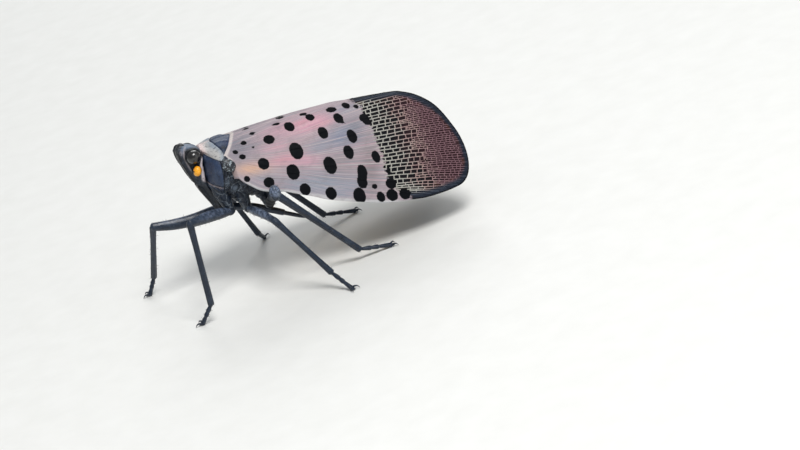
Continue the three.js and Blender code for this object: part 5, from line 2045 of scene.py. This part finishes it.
def build_rostrum() -> None:
    """The sucking beak: a tapering tube laid back along the underside."""
    rows = [
        (-0.3, -4.16, 0.24), (0.44, -4.22, 0.28), (1.4, -4.25, 0.3), (2.9, -4.3, 0.3), (4.4, -4.58, 0.27),
        (5.5, -4.83, 0.25), (5.65, -4.87, 0.18), (6.9, -5.14, 0.15), (7.6, -5.3, 0.07),
    ]
    path = STANCE.carried(np.array([(x, 0.0, z) for x, z, _ in rows]))
    shell = Limb(path, [row[2] for row in rows], stations=90, sides=24, keel=0.04, end_round=1.4).shell()
    make_piece("rostrum_tube", shell, LEG_CUTICLE.build(), ["rostrum"])


@dataclass(frozen=True)
class Tegula:
    """The lumpy scale over the wing's root.

    Attributes:
        centre: its middle in the body frame, on the left.
        radii: its half sizes before it is tilted.
        tilt: how far its front is raised, in radians.
        lumps: how many lumps it has.
        lump_width, lump_height: how far each lump spreads and stands out.
    """

    centre: Point = (-0.14, -2.98, 0.02)
    radii: Point = (0.57, 0.36, 0.47)
    tilt: float = 0.4
    lumps: int = 26
    lump_width: float = 0.035
    lump_height: float = 0.14

    def build(self, side: Side) -> None:
        """Makes the scale on one side."""
        shell = ball((0, 0, 0), (1, 1, 1), 64, 48)
        lumps = unit(np.random.default_rng(SEED).normal(size=(self.lumps, 3)))
        bulge = sum(np.exp(-((1 - shell.points @ lump) / self.lump_width)) for lump in lumps)
        swell = 1 + self.lump_height * np.clip(bulge, 0, 1.3)
        shaped = shell.points * swell[:, None] * np.array(self.radii)
        x, y, z = shaped.T
        along, up = math.cos(self.tilt), math.sin(self.tilt)
        turned = np.stack([x * along + z * up, y, z * along - x * up], axis=-1)
        shell.points = turned + np.array(self.centre)
        name = f"tegula_{side.word}"
        make_piece(f"{name}_scale", shell.carried().mirrored(side), tegula_finish(), [name])


@dataclass(frozen=True)
class Studio:
    """A pale floor, soft lights and a camera at the photo's viewing angle.

    Attributes:
        azimuth, elevation, roll: the camera's direction and its turn about the line of sight, in degrees.
        distance: from the anchor along the line of sight, in millimetres.
        lens, sensor: focal length and sensor width in millimetres.
        anchor: the near fore foot in the floor frame.
        anchor_pixel: where it shows in an image of image_size pixels.
        floor_half: half the floor's side, in metres.
    """

    azimuth: float = -12.0
    elevation: float = 22.0
    roll: float = 18.0
    distance: float = 220.0
    lens: float = 123.0
    sensor: float = 36.0
    anchor: Point = (0.0, -4.7, 0.0)
    anchor_pixel: Chart = (204.0, 325.0)
    image_size: tuple[int, int] = (800, 450)
    floor_half: float = 3.0

    def _camera(self) -> None:
        """Aims the camera so that the anchor shows at its pixel."""
        turn, tilt, roll = (math.radians(angle) for angle in (self.azimuth, self.elevation, self.roll))
        back = np.array([math.sin(turn) * math.cos(tilt), -math.cos(turn) * math.cos(tilt), math.sin(tilt)])
        right = unit(np.cross(-back, [0, 0, 1]))
        up = np.cross(right, -back)
        rolled_right = right * math.cos(roll) - up * math.sin(roll)
        rolled_up = right * math.sin(roll) + up * math.cos(roll)
        pixels = self.lens / self.sensor * self.image_size[0]
        at = np.array(self.anchor_pixel) - np.array(self.image_size) / 2
        x, y = at / pixels * self.distance
        place = np.array(self.anchor) + back * self.distance - rolled_right * x + rolled_up * y
        data = bpy.data.cameras.new("camera")
        data.lens, data.sensor_width = self.lens, self.sensor
        data.clip_start, data.clip_end = 0.01, 5.0
        camera = shown("camera", data)
        turned = Matrix(np.column_stack([rolled_right, rolled_up, back]).tolist())
        camera.matrix_world = Matrix.Translation(STANCE.in_row(place).tolist()) @ turned.to_4x4()
        bpy.context.scene.camera = camera

    def _light(self, name: str, place: Point, size: float, power: float, colour: Colour) -> None:
        """Adds a square lamp at a place in metres, aimed at the origin."""
        data = bpy.data.lights.new(name, "AREA")
        data.size, data.energy, data.color = size, power, colour
        spot = Vector(place)
        aim = (-spot).to_track_quat("-Z", "Y").to_matrix().to_4x4()
        shown(name, data).matrix_world = Matrix.Translation(spot) @ aim

    def _floor(self) -> None:
        """Lays the pale floor."""
        mesh = bpy.data.meshes.new("floor")
        half = self.floor_half
        corners = [(-half, -half, 0), (half, -half, 0), (half, half, 0), (-half, half, 0)]
        mesh.from_pydata(corners, [], [(0, 1, 2, 3)])
        shader = Shader("floor")
        grain = shader.noise(shader.here(), 0.4, 4.0)
        colour = shader.mix(grain, Hue.FLOOR, Hue.FLOOR_LIGHT)
        mesh.materials.append(shader.finish(colour, 0.7, shader.bump(grain, 0.02, 0.2)))
        shown("floor", mesh)

    def build(self) -> None:
        """Sets up the whole studio."""
        self._camera()
        self._floor()
        self._light("key", (0.05, -0.18, 0.3), 0.12, 0.95, (1.0, 0.99, 0.98))
        self._light("fill", (0.24, -0.26, 0.12), 0.3, 0.2, (0.9, 0.95, 1.0))
        self._light("rim", (0.1, 0.26, 0.2), 0.2, 0.4, (1.0, 1.0, 1.0))
        world = bpy.data.worlds.new("world")
        world.use_nodes = True
        sky = world.node_tree.nodes["Background"].inputs
        sky["Color"].default_value = (0.82, 0.86, 0.9, 1.0)
        sky["Strength"].default_value = 0.38
        bpy.context.scene.world = world
        bpy.context.scene.view_settings.view_transform = "Standard"


def build_insect() -> None:
    """Makes every piece of the insect."""
    Head().build()
    Thorax().build()
    Abdomen().build()
    build_rostrum()
    for side in Side:
        Forewing().build(side)
        Hindwing().build(side)
        Tegula().build(side)
        for pair, leg in LEGS.items():
            leg.build(pair, side)
        LOG.info("built the %s side", side.word)


def main() -> None:
    """Builds the scene."""
    logging.basicConfig(level=logging.INFO, format="%(name)s: %(message)s")
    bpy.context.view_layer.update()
    build_insect()
    Studio().build()
    bpy.context.view_layer.update()


if __name__ == "__main__":
    main()
